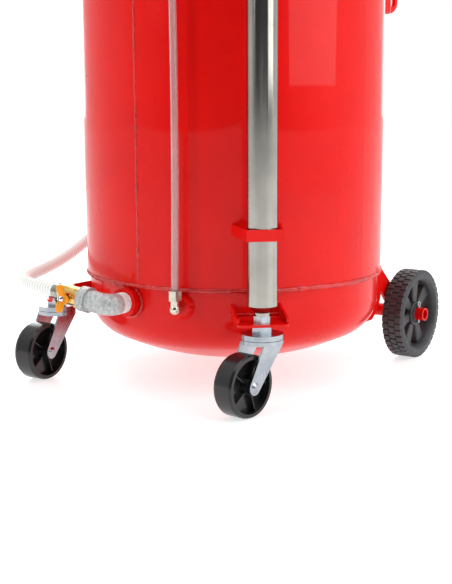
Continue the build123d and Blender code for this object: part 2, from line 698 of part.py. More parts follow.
def rear_wheel(way):
    """Moulded wheel with seven tapered spokes."""
    inner = WHEEL_R - TYRE_T
    edge = WHEEL_W / 2
    rim = turned([
        (inner, -edge), (WHEEL_R - 3, -edge), (WHEEL_R, -edge + 4), (WHEEL_R, edge - 4),
        (WHEEL_R - 3, edge), (inner, edge),
    ])
    wheel = rim + rod((0, 0, -WHEEL_HUB_HALF), (0, 0, WHEEL_HUB_HALF), WHEEL_HUB_R)
    spoke = make_face(Polyline(
        (WHEEL_HUB_R - 2, -SPOKE_HUB_W / 2), (inner + 1, -SPOKE_RIM_W / 2),
        (inner + 1, SPOKE_RIM_W / 2), (WHEEL_HUB_R - 2, SPOKE_HUB_W / 2), close=True,
    ))
    for step in range(SPOKES):
        turn = 90 + step * 360 / SPOKES
        wheel += Rot(0, 0, turn) * extrude(spoke, SPOKE_T / 2, both=True)
    wheel -= rod((0, 0, -WHEEL_W), (0, 0, WHEEL_W), AXLE_R + RUN_GAP)
    return Pos(way * WHEEL_X, AXLE_Y, WHEEL_R) * Rot(0, 90, 0) * wheel


# ---- storage tube ----
def spout_holster():
    """Stainless tube, closed below, screwed onto the right caster's stud."""
    low = BRACKET_TOP + NUT_H
    taper = low + HOLSTER_NECK_H
    body = taper + HOLSTER_TAPER_H
    holster = rod((0, 0, low), (0, 0, taper), HOLSTER_NECK_R)
    holster += cone((0, 0, taper), (0, 0, body), HOLSTER_NECK_R, HOLSTER_R)
    holster += rod((0, 0, body), (0, 0, HOLSTER_TOP), HOLSTER_R)
    holster -= rod((0, 0, low), (0, 0, low + STUD_SHOW + SNUG_GAP), STUD_R + SNUG_GAP)
    floor = body + HOLSTER_WALL
    holster -= rod((0, 0, floor), (0, 0, HOLSTER_TOP), HOLSTER_R - HOLSTER_WALL)
    return stem_place("right")[0] * holster


def holster_straps():
    """Flat bands that hold the storage tube to the shell."""
    front = -(STEM_R + HOLSTER_R + 2 * SNUG_GAP)
    back = -TANK_R + 2 * WALL
    inner = make_face(Polyline(
        (-STRAP_BASE_HALF, back), (-STRAP_FRONT_HALF + STRAP_T / 2, front),
        (STRAP_FRONT_HALF - STRAP_T / 2, front), (STRAP_BASE_HALF, back), close=True,
    ))
    outer = make_face(Polyline(
        (-STRAP_BASE_HALF - STRAP_T, back), (-STRAP_FRONT_HALF - STRAP_T / 2, front - STRAP_T),
        (STRAP_FRONT_HALF + STRAP_T / 2, front - STRAP_T), (STRAP_BASE_HALF + STRAP_T, back), close=True,
    ))
    band = extrude(outer - inner, STRAP_H / 2, both=True)
    straps = []
    for z in STRAP_ZS:
        strap = Pos(0, 0, z) * band - rod((0, 0, SHELL_Z), (0, 0, SHELL_TOP), TANK_R)
        straps.append(at_angle(STEM_ANGLE, strap))
    return Part() + straps


# ---- ball valves ----
def valve_body(half, hexagon, hex_l, barrel, bonnet_r, bonnet_h, bore, ball, stem):
    """Body of a ball valve with its flow along X and its stem along Z."""
    body = rod((-half + 1, 0, 0), (half - 1, 0, 0), barrel)
    body += prism((-half, 0, 0), (-half + hex_l, 0, 0), hexagon)
    body += prism((half - hex_l, 0, 0), (half, 0, 0), hexagon)
    body += rod((0, 0, 0), (0, 0, bonnet_h), bonnet_r)
    body -= rod((-half, 0, 0), (half, 0, 0), bore)
    body -= rod((-ball, 0, 0), (ball, 0, 0), ball + FREE_GAP)
    return body - rod((0, 0, 0), (0, 0, bonnet_h), stem + RUN_GAP)


def valve_ball(ball, bore, stem, flow_open=False):
    """Bored ball with a slot for the stem's tongue."""
    turn = 0 if flow_open else 90
    shape = Sphere(ball) - Rot(0, 0, turn) * rod((-ball, 0, 0), (ball, 0, 0), bore)
    return shape - rod((0, 0, ball - 2), (0, 0, ball), stem)


LINE_PLACE = Pos(DRAIN_X, DRAIN_Y, DRAIN_Z) * Rot(0, DRAIN_TILT, 0)
TAP_PLACE = LINE_PLACE * Pos(-TAP_REACH, 0, 0) * Rot(90, 0, 0)
BOWL_TAP_PLACE = Pos(0, 0, BOWL_TAP_Z) * Rot(0, 90, 0) * Rot(90, 0, 0)
AIR_TAP_PLACE = Pos(AIR_TAP_X, AIR_Y, AIR_Z)


def drain_elbow():
    """Street elbow from the boss to the valve: male end, bend and collar."""
    start, shoulder = (0, DRAIN_OUT, 0), (0, ELBOW_SHOULDER, 0)
    collar, end = (ELBOW_COLLAR_L - ELBOW_REACH, 0, 0), (-ELBOW_REACH, 0, 0)
    bend = ELBOW_BEND
    elbow = swept([shoulder, (0, 0, 0), collar], bend, ELBOW_BODY_R)
    elbow += rod(start, shoulder, MALE_R) + rod(collar, end, ELBOW_COLLAR_R)
    elbow -= swept([start, (0, 0, 0), end], bend, ELBOW_BORE_R)
    elbow -= rod(end, (end[0] + TAP_THREAD_L, 0, 0), TAP_THREAD_R + SNUG_GAP)
    return LINE_PLACE * elbow


def drain_valve_body():
    """Brass body with a male end that is screwed into the elbow."""
    body = valve_body(TAP_HALF, TAP_HEX, TAP_HEX_L, TAP_BODY_R, TAP_BONNET_R, TAP_BONNET_H,
                      BARB_R - 1, TAP_BALL_R, TAP_STEM_R)
    body += tube((TAP_HALF, 0, 0), (TAP_HALF + TAP_THREAD_L, 0, 0), TAP_THREAD_R, BARB_R - 1)
    return TAP_PLACE * body


def drain_valve_seats():
    """Seat rings on both sides of the ball, with a bevelled face towards it."""
    slant, bore = (TAP_BALL_R + FREE_GAP) * sqrt(2), BARB_R - 1
    inner = TAP_BALL_R - TAP_SEAT_T
    ring = turned([
        (bore, slant - bore), (slant - inner, inner), (TAP_BALL_R, inner), (TAP_BALL_R, TAP_BALL_R),
        (bore, TAP_BALL_R),
    ])
    return TAP_PLACE * (Part() + [Rot(0, 90, 0) * ring, Rot(0, -90, 0) * ring])


def drain_valve_ball():
    """Ball of the drain valve, shut."""
    return TAP_PLACE * valve_ball(TAP_BALL_R, TAP_BORE_R, TAP_STEM_R)


def drain_valve_stem():
    """Stem of the drain valve, from the ball's slot to the handle."""
    stem = rod((0, 0, TAP_BALL_R - 2), (0, 0, TAP_STEM_H), TAP_STEM_R)
    return TAP_PLACE * (stem - rod((0, 0, TAP_STEM_H - 6), (0, 0, TAP_STEM_H), TAP_STEM_R / 2))


def drain_valve_handle():
    """Butterfly handle, across the flow when shut, with wings swept to the front."""
    low = TAP_STEM_H - HANDLE_T
    hub = rod((0, 0, low), (0, 0, TAP_STEM_H), HANDLE_HUB_R)
    wing = Polyline(
        (0, low), (HANDLE_HUB_R, low), (HANDLE_SPAN, low + HANDLE_SWEEP),
        (HANDLE_SPAN, low + HANDLE_SWEEP + HANDLE_T), (HANDLE_HUB_R - 1, TAP_STEM_H), (0, TAP_STEM_H),
        close=True,
    )
    handle = hub
    for turn in (90, 270):
        blade = extrude(Plane.XZ * make_face(wing), HANDLE_W / 2, both=True)
        tip = blade.edges().filter_by(Axis.Z).group_by(Axis.X)[-1]
        handle += Rot(0, 0, turn) * fillet(tip, HANDLE_W / 3)
    return TAP_PLACE * (handle - rod((0, 0, low), (0, 0, TAP_STEM_H), TAP_STEM_R))


def drain_valve_screw():
    """Pan head screw that holds the handle."""
    screw = rod((0, 0, TAP_STEM_H - 6), (0, 0, TAP_STEM_H), TAP_STEM_R / 2)
    head = rod((0, 0, TAP_STEM_H), (0, 0, TAP_STEM_H + SCREW_HEAD_H), SCREW_HEAD_R)
    head += cone((0, 0, TAP_STEM_H + SCREW_HEAD_H), (0, 0, SCREW_TIP), SCREW_HEAD_R, SCREW_HEAD_R / 2)
    slot_depth = SCREW_TIP - TAP_STEM_H - SCREW_HEAD_H
    head -= Pos(0, 0, SCREW_TIP) * Box(SCREW_SLOT_W, 2 * SCREW_HEAD_R, 2 * slot_depth)
    return TAP_PLACE * (screw + head)


def hose_barb():
    """Hexagon and tail that carry the hose."""
    start = -TAP_REACH - TAP_HALF
    end, tip = start - BARB_HEX_L, start - BARB_HEX_L - BARB_IN
    barb = prism((start, 0, 0), (end, 0, 0), BARB_HEX) + rod((end, 0, 0), (tip, 0, 0), BARB_R)
    return LINE_PLACE * (barb - rod((start, 0, 0), (tip, 0, 0), BARB_R - 2))


# ---- hose ----
def hose_radii():
    """Bend radius at each inner point of the route, from its two runs and its turn."""
    points = [Vector(*point) for point in HOSE_POINTS]
    radii = []
    for back, here, ahead in zip(points, points[1:], points[2:]):
        turn = (here - back).get_angle(ahead - here)
        shorter = min((here - back).length, (ahead - here).length)
        radii.append(0.45 * shorter / tan(radians(turn / 2)))
    return radii


def discharge_hose():
    """Hose from the drain round the back of the tank to the spout."""
    path = FilletPolyline(*HOSE_POINTS, radius=hose_radii())
    hose = sweep(Plane(origin=path @ 0, z_dir=path % 0) * Circle(HOSE_R), path)
    print("hose radii", [round(radius) for radius in hose_radii()])
    print("hose length", round(path.length), "volume ratio", hose.volume / (pi * HOSE_R ** 2 * path.length))
    for point, way in ((path @ 0, path % 0), (path @ 1, path % 1 * -1)):
        hose -= rod(tuple(point), tuple(point + way * BARB_IN), BARB_R + SNUG_GAP)
    return hose


def spout_line():
    """Start of the spout, the corner over the storage tube, and its outlet."""
    place, _ = stem_place("right")
    x, y = place.position.X, place.position.Y
    start = HOSE_POINTS[-1]
    return start, (x, y, start[2]), (x, y, SPOUT_LOW)


def hose_spout():
    """Bent outlet pipe that hangs in the storage tube by its flange."""
    start, corner, end = spout_line()
    way = (Vector(*corner) - Vector(*start)).normalized()
    tail = tuple(Vector(*start) - way * BARB_IN)
    spout = swept([start, corner, end], SPOUT_BEND, SPOUT_R)
    spout += rod(start, tuple(Vector(*start) + way * BARB_HEX_L), HOSE_R)
    spout += rod(start, tail, BARB_R)
    spout += rod((*corner[:2], HOLSTER_TOP), (*corner[:2], HOLSTER_TOP + SPOUT_RIM_T), SPOUT_RIM_R)
    spout -= swept([start, corner, end], SPOUT_BEND, BARB_R - 2)
    return spout - rod(start, tail, BARB_R - 2)


def clamp(start, way):
    """Band and worm screw round the hose, near one of its ends."""
    middle = start + way * (CLAMP_IN + CLAMP_W / 2)
    low, high = middle - way * (CLAMP_W / 2), middle + way * (CLAMP_W / 2)
    inner = HOSE_R + SNUG_GAP
    band = tube(tuple(low), tuple(high), inner + CLAMP_T, inner)
    frame = Plane(origin=middle, x_dir=way.cross(Vector(0, 0, 1)), z_dir=way)
    housing = Pos(0, inner + CLAMP_T + CLAMP_SCREW_R, 0) * Box(8, 2 * CLAMP_SCREW_R + 1, CLAMP_W)
    screw = Rot(0, 90, 0) * Cylinder(CLAMP_SCREW_R, CLAMP_SCREW_L)
    screw = Pos(0, inner + CLAMP_T + CLAMP_SCREW_R, 0) * screw
    return band + frame.location * (housing + screw)


def hose_clamps():
    """Clamps at the drain and at the spout."""
    ends = []
    for tip, beside in ((0, 1), (-1, -2)):
        start, ahead = Vector(*HOSE_POINTS[tip]), Vector(*HOSE_POINTS[beside])
        ends.append(clamp(start, (ahead - start).normalized()))
    return Part() + ends


def hose_hooks():
    """J hooks on the back of the shell, under the hose."""
    hooks = []
    for angle, z in HOOK_ZS.items():
        out = -TANK_R - HOOK_REACH
        points = [(0, -TANK_R + WALL, z), (0, out, z), (0, out, z + HOOK_UP)]
        hook = swept(points, HOOK_BEND, HOOK_R) - rod((0, 0, SHELL_Z), (0, 0, SHELL_TOP), TANK_R)
        hooks.append(at_angle(angle, hook))
    return Part() + hooks


# ---- push handle ----
def push_handle():
    """Bent tube with two legs on the back of the tank and a cross bar."""
    points = [
        (-BAR_X, BAR_Y, BAR_LOW), (-BAR_X, BAR_Y, BAR_KINK), (-BAR_X, GRIP_Y, BAR_TOP),
        (BAR_X, GRIP_Y, BAR_TOP), (BAR_X, BAR_Y, BAR_KINK), (BAR_X, BAR_Y, BAR_LOW),
    ]
    return swept(points, BAR_BEND, BAR_R) - swept(points, BAR_BEND, BAR_R - BAR_WALL)


def handle_tabs():
    """Blocks that hold the handle's legs off the shell."""
    tabs = []
    for x in (-BAR_X, BAR_X):
        angle = degrees(asin(x / (TANK_R + BAR_OUT)))
        for up in TAB_UPS:
            block = Pos(0, TANK_R + BAR_OUT / 2 - 1, BAR_LOW + up) * Box(TAB_W, BAR_OUT + 2, TAB_H)
            block = Rot(0, 0, -angle) * block
            block -= rod((x, BAR_Y, BAR_LOW), (x, BAR_Y, BAR_KINK), BAR_R)
            tabs.append(block - rod((0, 0, SHELL_Z), (0, 0, SHELL_TOP), TANK_R))
    return Part() + tabs


def handle_grip():
    """Rubber sleeve on the cross bar."""
    return tube((-GRIP_L / 2, GRIP_Y, BAR_TOP), (GRIP_L / 2, GRIP_Y, BAR_TOP), GRIP_R, BAR_R + SNUG_GAP)


# ---- column ----
def column_socket():
    """Socket on the dome with a seat for the gland's seal."""
    socket = rod((0, 0, TOP_TANGENT_Z), (0, 0, SOCKET_TOP), SOCKET_R) - filled_top()
    socket -= rod((0, 0, TOP_TANGENT_Z), (0, 0, SOCKET_TOP), PIPE_R + FREE_GAP)
    return socket - rod((0, 0, SOCKET_TOP - SEAL_H), (0, 0, SOCKET_TOP), SEAL_R + SNUG_GAP)


def gland_seal():
    """Rubber ring that the gland nut squeezes round the pipe."""
    low, high = (0, 0, SOCKET_TOP - SEAL_H), (0, 0, SOCKET_TOP - FREE_GAP)
    return tube(low, high, SEAL_R, PIPE_R + RUN_GAP)


def gland_nut():
    """Fluted hand nut over the socket."""
    low = GLAND_TOP - GLAND_H
    nut = rod((0, 0, low), (0, 0, GLAND_TOP), GLAND_R)
    for step in range(GLAND_FLUTES):
        place = Rot(0, 0, step * 360 / GLAND_FLUTES) * Pos(GLAND_R + FLUTE_R / 2, 0, 0)
        nut -= place * rod((0, 0, low), (0, 0, GLAND_TOP), FLUTE_R)
    nut -= rod((0, 0, low), (0, 0, SOCKET_TOP + FREE_GAP), SOCKET_R + RUN_GAP)
    return nut - rod((0, 0, low), (0, 0, GLAND_TOP), PIPE_R + FREE_GAP)


def drop_pipe():
    """Pipe that slides in the gland, with a stop collar above it and a foot inside the tank."""
    pipe = rod((0, 0, PIPE_LOW), (0, 0, PIPE_TOP), PIPE_R)
    pipe += rod((0, 0, PIPE_LOW), (0, 0, PIPE_LOW + PIPE_FOOT_H), PIPE_R + PIPE_FOOT_RIM)
    stop = GLAND_TOP + FREE_GAP
    pipe += rod((0, 0, stop), (0, 0, stop + COLLAR_H), PIPE_R + COLLAR_RIM)
    return pipe - rod((0, 0, PIPE_LOW), (0, 0, PIPE_TOP), PIPE_R - PIPE_WALL)


# ---- bowl ----
def bowl_valve_body():
    """Body of the valve under the bowl, turning on the top of the drop pipe."""
    body = valve_body(BOWL_TAP_HALF, BOWL_TAP_HEX, BOWL_TAP_HEX_L, BOWL_TAP_BODY_R, BOWL_TAP_BONNET_R,
                      BOWL_TAP_BONNET_H, PIPE_R - PIPE_WALL, BOWL_TAP_BALL_R, BOWL_TAP_STEM_R)
    body = BOWL_TAP_PLACE * body
    low = BOWL_TAP_Z - BOWL_TAP_HALF
    return body - rod((0, 0, low), (0, 0, PIPE_TOP + FREE_GAP), PIPE_R + RUN_GAP)


def bowl_valve_ball():
    """Ball of the bowl's valve, shut."""
    return BOWL_TAP_PLACE * valve_ball(BOWL_TAP_BALL_R, BOWL_TAP_BORE_R, BOWL_TAP_STEM_R)


def lever(stem_low, stem_r, stem_h, thick, wide, long, turn):
    """Stem and flat lever of a ball valve, pointing along X before it is turned."""
    shape = rod((0, 0, stem_low), (0, 0, stem_h + thick), stem_r)
    blade = Pos((long - wide / 2) / 2, 0, stem_h + thick / 2) * Box(long + wide / 2, wide, thick)
    blade = fillet(blade.edges().filter_by(Axis.Z), wide / 2 - 0.5)
    return Rot(0, 0, turn) * (shape + blade)


def bowl_valve_lever():
    """Stem and lever of the bowl's valve, level when it is shut and hanging down when open."""
    shape = lever(BOWL_TAP_BALL_R - 2, BOWL_TAP_STEM_R, BOWL_TAP_STEM_H, LEVER_T, LEVER_W, LEVER_L, 90)
    return BOWL_TAP_PLACE * shape


def bowl():
    """Funnel bowl with an upright rim and a spigot in the valve."""
    cone_top = BOWL_Z + BOWL_CONE_H
    top = cone_top + BOWL_RIM_H
    outer = [
        (0, BOWL_Z), (BOWL_SPIGOT_R + BOWL_WALL, BOWL_Z),
        (BOWL_SPIGOT_R + BOWL_WALL, BOWL_Z + BOWL_SPIGOT_H),
        (BOWL_R, cone_top), (BOWL_R, top), (0, top),
    ]
    inner = [
        (0, BOWL_Z - 1), (BOWL_SPIGOT_R - BOWL_WALL * 3, BOWL_Z - 1),
        (BOWL_SPIGOT_R - BOWL_WALL * 3, BOWL_Z + BOWL_SPIGOT_H + BOWL_WALL),
        (BOWL_R - BOWL_WALL, cone_top + BOWL_WALL), (BOWL_R - BOWL_WALL, top + 1), (0, top + 1),
    ]
    rim = Pos(0, 0, top - BOWL_WALL) * Torus(BOWL_R - BOWL_WALL, BOWL_WALL)
    return turned(outer) - turned(inner) + rim


def screen_z():
    """Height at which the screen's edge meets the bowl's cone."""
    slope = (BOWL_CONE_H - BOWL_SPIGOT_H) / (BOWL_R - BOWL_WALL - BOWL_SPIGOT_R + BOWL_WALL * 3)
    return BOWL_Z + BOWL_SPIGOT_H + BOWL_WALL + slope * (SCREEN_R - BOWL_SPIGOT_R + BOWL_WALL * 3)


def bowl_screen():
    """Perforated plate with a knob, lying in the bowl."""
    low = screen_z() + FREE_GAP
    screen = rod((0, 0, low), (0, 0, low + SCREEN_T), SCREEN_R)
    for ring, count in SCREEN_RINGS:
        for step in range(count):
            place = Rot(0, 0, step * 360 / count) * Pos(ring, 0, 0)
            screen -= place * rod((0, 0, low), (0, 0, low + SCREEN_T), SCREEN_HOLE_R)
    return screen + rod((0, 0, low), (0, 0, low + SCREEN_KNOB_H), SCREEN_KNOB_R)


# ---- air fittings ----
def air_manifold():
    """Weld boss and square block that carry the gauge, the relief valve and the air valve."""
    low = AIR_Z - AIR_BLOCK / 2
    block = Pos(AIR_X, AIR_Y, AIR_Z) * Box(AIR_BLOCK, AIR_BLOCK, AIR_BLOCK)
    block = chamfer(block.edges(), 2)
    block += rod((AIR_X, AIR_Y, TOP_TANGENT_Z), (AIR_X, AIR_Y, low + 3), AIR_BOSS_R)
    block -= filled_top()
    block -= rod((AIR_X, AIR_Y, TOP_TANGENT_Z), (AIR_X, AIR_Y, AIR_Z), AIR_TAP_BORE_R)
    return block - rod((AIR_X - AIR_BLOCK / 2, AIR_Y, AIR_Z), (AIR_X, AIR_Y, AIR_Z), AIR_TAP_BORE_R)


def gauge_case():
    """Round case with its neck, open at the front for the dial and the lens."""
    case = rod((AIR_X, AIR_Y - AIR_BLOCK / 2, AIR_Z), (AIR_X, GAUGE_BACK, AIR_Z), AIR_NECK_R)
    case += rod((AIR_X, GAUGE_BACK, AIR_Z), (AIR_X, GAUGE_FRONT, AIR_Z), GAUGE_R)
    dial = GAUGE_FRONT + GAUGE_DIAL
    case -= rod((AIR_X, GAUGE_FRONT, AIR_Z), (AIR_X, dial, AIR_Z), GAUGE_R - GAUGE_WALL)
    return case + rod((AIR_X, dial, AIR_Z), (AIR_X, dial - SPINDLE_L, AIR_Z), NEEDLE_W)


def gauge_lens():
    """Clear disc in front of the dial."""
    low = GAUGE_FRONT + LENS_IN
    return rod((AIR_X, low, AIR_Z), (AIR_X, low + LENS_T, AIR_Z), GAUGE_R - GAUGE_WALL)


def gauge_needle():
    """Pointer on the dial's spindle, pointing down and to the left at no pressure."""
    back = GAUGE_FRONT + GAUGE_DIAL - NEEDLE_OFF
    front = back - NEEDLE_T
    hub = rod((0, back, 0), (0, front, 0), 2 * NEEDLE_W)
    arm = Pos(NEEDLE_L / 2 - 2, (back + front) / 2, 0) * Box(NEEDLE_L + 4, NEEDLE_T, NEEDLE_W)
    needle = hub + arm - rod((0, back, 0), (0, front, 0), NEEDLE_W + RUN_GAP)
    return Pos(AIR_X, 0, AIR_Z) * Rot(0, NEEDLE_REST, 0) * needle


def safety_valve_body():
    """Hexagon and barrel of the relief valve."""
    low = AIR_Z + AIR_BLOCK / 2
    body = prism((AIR_X, AIR_Y, low), (AIR_X, AIR_Y, low + RELIEF_H / 3), 2 * RELIEF_R)
    body += rod((AIR_X, AIR_Y, low + RELIEF_H / 3), (AIR_X, AIR_Y, low + RELIEF_H), RELIEF_R - 1.5)
    return body - rod((AIR_X, AIR_Y, low + 6), (AIR_X, AIR_Y, low + RELIEF_H), RELIEF_STEM_R + RUN_GAP)


def safety_pull_ring():
    """Lift pin and ring of the relief valve."""
    low = AIR_Z + AIR_BLOCK / 2 + 6 + FREE_GAP
    top = AIR_Z + AIR_BLOCK / 2 + RELIEF_H + 5
    ring = Pos(AIR_X, AIR_Y, top + RELIEF_RING_R) * Rot(90, 0, 0) * Torus(RELIEF_RING_R, RELIEF_WIRE_R)
    return rod((AIR_X, AIR_Y, low), (AIR_X, AIR_Y, top), RELIEF_STEM_R) + ring


def air_valve_body():
    """Body of the air inlet's valve."""
    body = valve_body(AIR_TAP_HALF, AIR_TAP_HEX, AIR_TAP_HEX_L, AIR_TAP_BODY_R, AIR_TAP_BONNET_R,
                      AIR_TAP_BONNET_H, AIR_TAP_BORE_R, AIR_TAP_BALL_R, AIR_TAP_STEM_R)
    return AIR_TAP_PLACE * body


def air_valve_ball():
    """Ball of the air valve, shut."""
    return AIR_TAP_PLACE * valve_ball(AIR_TAP_BALL_R, AIR_TAP_BORE_R, AIR_TAP_STEM_R)


def air_valve_lever():
    """Stem and lever of the air valve, across the flow when it is shut."""
    shape = lever(AIR_TAP_BALL_R - 2, AIR_TAP_STEM_R, AIR_TAP_STEM_H, AIR_LEVER_T, AIR_LEVER_W,
                  AIR_LEVER_L, -90)
    return AIR_TAP_PLACE * shape


def air_plug():
    """Quick-coupling plug on the air valve."""
    start = AIR_TAP_X - AIR_TAP_HALF
    hex_end = start - PLUG_HEX_L
    tip = hex_end - PLUG_L
    plug = prism((start, AIR_Y, AIR_Z), (hex_end, AIR_Y, AIR_Z), PLUG_HEX)
    plug += rod((hex_end, AIR_Y, AIR_Z), (tip, AIR_Y, AIR_Z), PLUG_NECK_R)
    plug += rod((tip + PLUG_L * 0.4, AIR_Y, AIR_Z), (tip + PLUG_L * 0.65, AIR_Y, AIR_Z), PLUG_R)
    return plug - rod((start, AIR_Y, AIR_Z), (tip, AIR_Y, AIR_Z), PLUG_BORE_R)


SINGLE = [
    tank_shell, bottom_head, top_head, drain_boss, pickup_pipe, sight_bosses, sight_elbows, sight_nuts,
    sight_tube, caster_brackets, caster_studs, caster_balls, caster_nuts, axle_gussets, rear_axles,
    split_pins, spout_holster, holster_straps, drain_elbow, drain_valve_body,
    drain_valve_seats, drain_valve_ball, drain_valve_stem, drain_valve_handle, drain_valve_screw,
    hose_barb, discharge_hose, hose_spout, hose_clamps, hose_hooks, push_handle, handle_tabs,
    handle_grip, column_socket, gland_seal, gland_nut, drop_pipe, bowl_valve_body, bowl_valve_ball,
    bowl_valve_lever, bowl, bowl_screen, air_manifold, gauge_case, gauge_lens, gauge_needle,
    safety_valve_body, safety_pull_ring, air_valve_body, air_valve_ball, air_valve_lever, air_plug,
]


def all_nodes():
    """Every node's name and shape."""
    nodes = {make.__name__: make() for make in SINGLE}
    for side in STEMS:
        nodes[f"caster_{side}_fork"] = caster_piece(side, caster_fork())
        nodes[f"caster_{side}_axle"] = caster_piece(side, caster_axle())
        nodes[f"caster_{side}_wheel"] = caster_piece(side, caster_wheel())
    nodes["rear_left_wheel"] = rear_wheel(-1)
    nodes["rear_right_wheel"] = rear_wheel(1)
    return nodes


def main():
    """Write one STEP file per node."""
    os.makedirs("parts", exist_ok=True)
    for name, shape in all_nodes().items():
        export_step(shape, f"parts/{name}.step")


main()
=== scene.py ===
"""Wheeled oil drainer tank: finishes, welds, hose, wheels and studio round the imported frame."""
import json
import logging
import math
from dataclasses import dataclass, field
from enum import Enum
from typing import Callable, ClassVar, Sequence

import bmesh
import bpy
from mathutils import Matrix, Vector, noise
from mathutils.kdtree import KDTree


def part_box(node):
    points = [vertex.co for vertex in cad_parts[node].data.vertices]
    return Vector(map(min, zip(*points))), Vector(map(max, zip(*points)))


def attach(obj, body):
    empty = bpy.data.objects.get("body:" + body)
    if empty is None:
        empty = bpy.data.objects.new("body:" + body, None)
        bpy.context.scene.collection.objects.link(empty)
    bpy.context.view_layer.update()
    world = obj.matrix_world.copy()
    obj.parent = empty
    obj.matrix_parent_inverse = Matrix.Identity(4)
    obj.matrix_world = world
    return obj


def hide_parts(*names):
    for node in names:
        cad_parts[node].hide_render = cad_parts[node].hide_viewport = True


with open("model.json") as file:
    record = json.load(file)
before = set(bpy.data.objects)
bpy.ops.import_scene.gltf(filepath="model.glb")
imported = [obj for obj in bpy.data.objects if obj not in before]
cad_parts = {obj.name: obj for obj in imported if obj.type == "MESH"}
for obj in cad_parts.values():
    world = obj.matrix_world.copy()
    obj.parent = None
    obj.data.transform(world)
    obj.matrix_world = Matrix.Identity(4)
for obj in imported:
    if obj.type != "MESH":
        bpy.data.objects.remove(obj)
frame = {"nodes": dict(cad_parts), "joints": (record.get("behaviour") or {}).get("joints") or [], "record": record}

log = logging.getLogger("drainer")
MM = 0.001
MERGE = 1e-6
Colour = tuple[float, float, float]
Shape = Callable[[float, float], float]


class Side(Enum):
    """Which side of the tank a pair's piece is on."""

    LEFT = "left"
    RIGHT = "right"


# ---------------------------------------------------------------- finishes
class NodeBoard:
    """Writes the nodes of one material."""

    def __init__(self, name: str) -> None:
        """Start an empty material.

        Args:
            name: the material's name.
        """
        self.material = bpy.data.materials.new(name)
        self.material.use_nodes = True
        self.tree = self.material.node_tree
        self.tree.nodes.clear()
        self.shader = self.add("ShaderNodeBsdfPrincipled")
        out = self.add("ShaderNodeOutputMaterial")
        self.link(self.shader.outputs["BSDF"], out.inputs["Surface"])
        self.place = self.add("ShaderNodeTexCoord").outputs["Object"]

    def add(self, kind: str, **values: object) -> bpy.types.Node:
        """Add a node and set its inputs by name.

        Args:
            kind: the node's type.
            **values: input values, with spaces written as underscores.

        Returns:
            The new node.
        """
        node = self.tree.nodes.new(kind)
        for key, value in values.items():
            node.inputs[key.replace("_", " ")].default_value = value
        return node

    def link(self, source: bpy.types.NodeSocket, target: bpy.types.NodeSocket) -> None:
        """Join an output to an input."""
        self.tree.links.new(source, target)

    def stretched(self, scale: Sequence[float]) -> bpy.types.NodeSocket:
        """Object coordinates, scaled along each axis.

        Args:
            scale: the scale along X, Y and Z.

        Returns:
            The scaled coordinates.
        """
        mapping = self.add("ShaderNodeMapping", Scale=tuple(scale))
        self.link(self.place, mapping.inputs["Vector"])
        return mapping.outputs["Vector"]

    def grain(self, scale: float, detail: float = 4.0, rough: float = 0.6,
              where: bpy.types.NodeSocket | None = None) -> bpy.types.NodeSocket:
        """Noise between 0 and 1.

        Args:
            scale: cells per metre.
            detail: octaves.
            rough: strength of the fine octaves.
            where: coordinates, or the object's own.

        Returns:
            The noise's factor.
        """
        node = self.add("ShaderNodeTexNoise", Scale=scale, Detail=detail, Roughness=rough)
        self.link(where or self.place, node.inputs["Vector"])
        return node.outputs["Fac"]

    def ramp(self, source: bpy.types.NodeSocket, low: Colour, high: Colour,
             start: float = 0.35, end: float = 0.65) -> bpy.types.NodeSocket:
        """Two colours, blended by a factor.

        Args:
            source: the factor.
            low: colour below the blend.
            high: colour above it.
            start: factor where the blend starts.
            end: factor where it ends.

        Returns:
            The blended colour.
        """
        node = self.add("ShaderNodeValToRGB")
        node.color_ramp.elements[0].position, node.color_ramp.elements[1].position = start, end
        node.color_ramp.elements[0].color = (*low, 1)
        node.color_ramp.elements[1].color = (*high, 1)
        self.link(source, node.inputs["Fac"])
        return node.outputs["Color"]

    def span(self, source: bpy.types.NodeSocket, low: float, high: float) -> bpy.types.NodeSocket:
        """A factor stretched to a range of values.

        Args:
            source: a noise's factor.
            low: the value in its hollows.
            high: the value on its crests.

        Returns:
            The stretched value.
        """
        node = self.add("ShaderNodeMapRange", From_Min=0.3, From_Max=0.7, To_Min=low, To_Max=high)
        self.link(source, node.inputs["Value"])
        return node.outputs["Result"]

    def bump(self, source: bpy.types.NodeSocket, depth: float, strength: float,
             under: bpy.types.NodeSocket | None = None) -> bpy.types.NodeSocket:
        """A relief of the given depth in metres.

        Args:
            source: the height, 0 to 1.
            depth: height in metres.
            strength: how much of it shows.
            under: a coarser relief below this one.

        Returns:
            The bent normal.
        """
        node = self.add("ShaderNodeBump", Strength=strength, Distance=depth)
        self.link(source, node.inputs["Height"])
        if under is not None:
            self.link(under, node.inputs["Normal"])
        return node.outputs["Normal"]


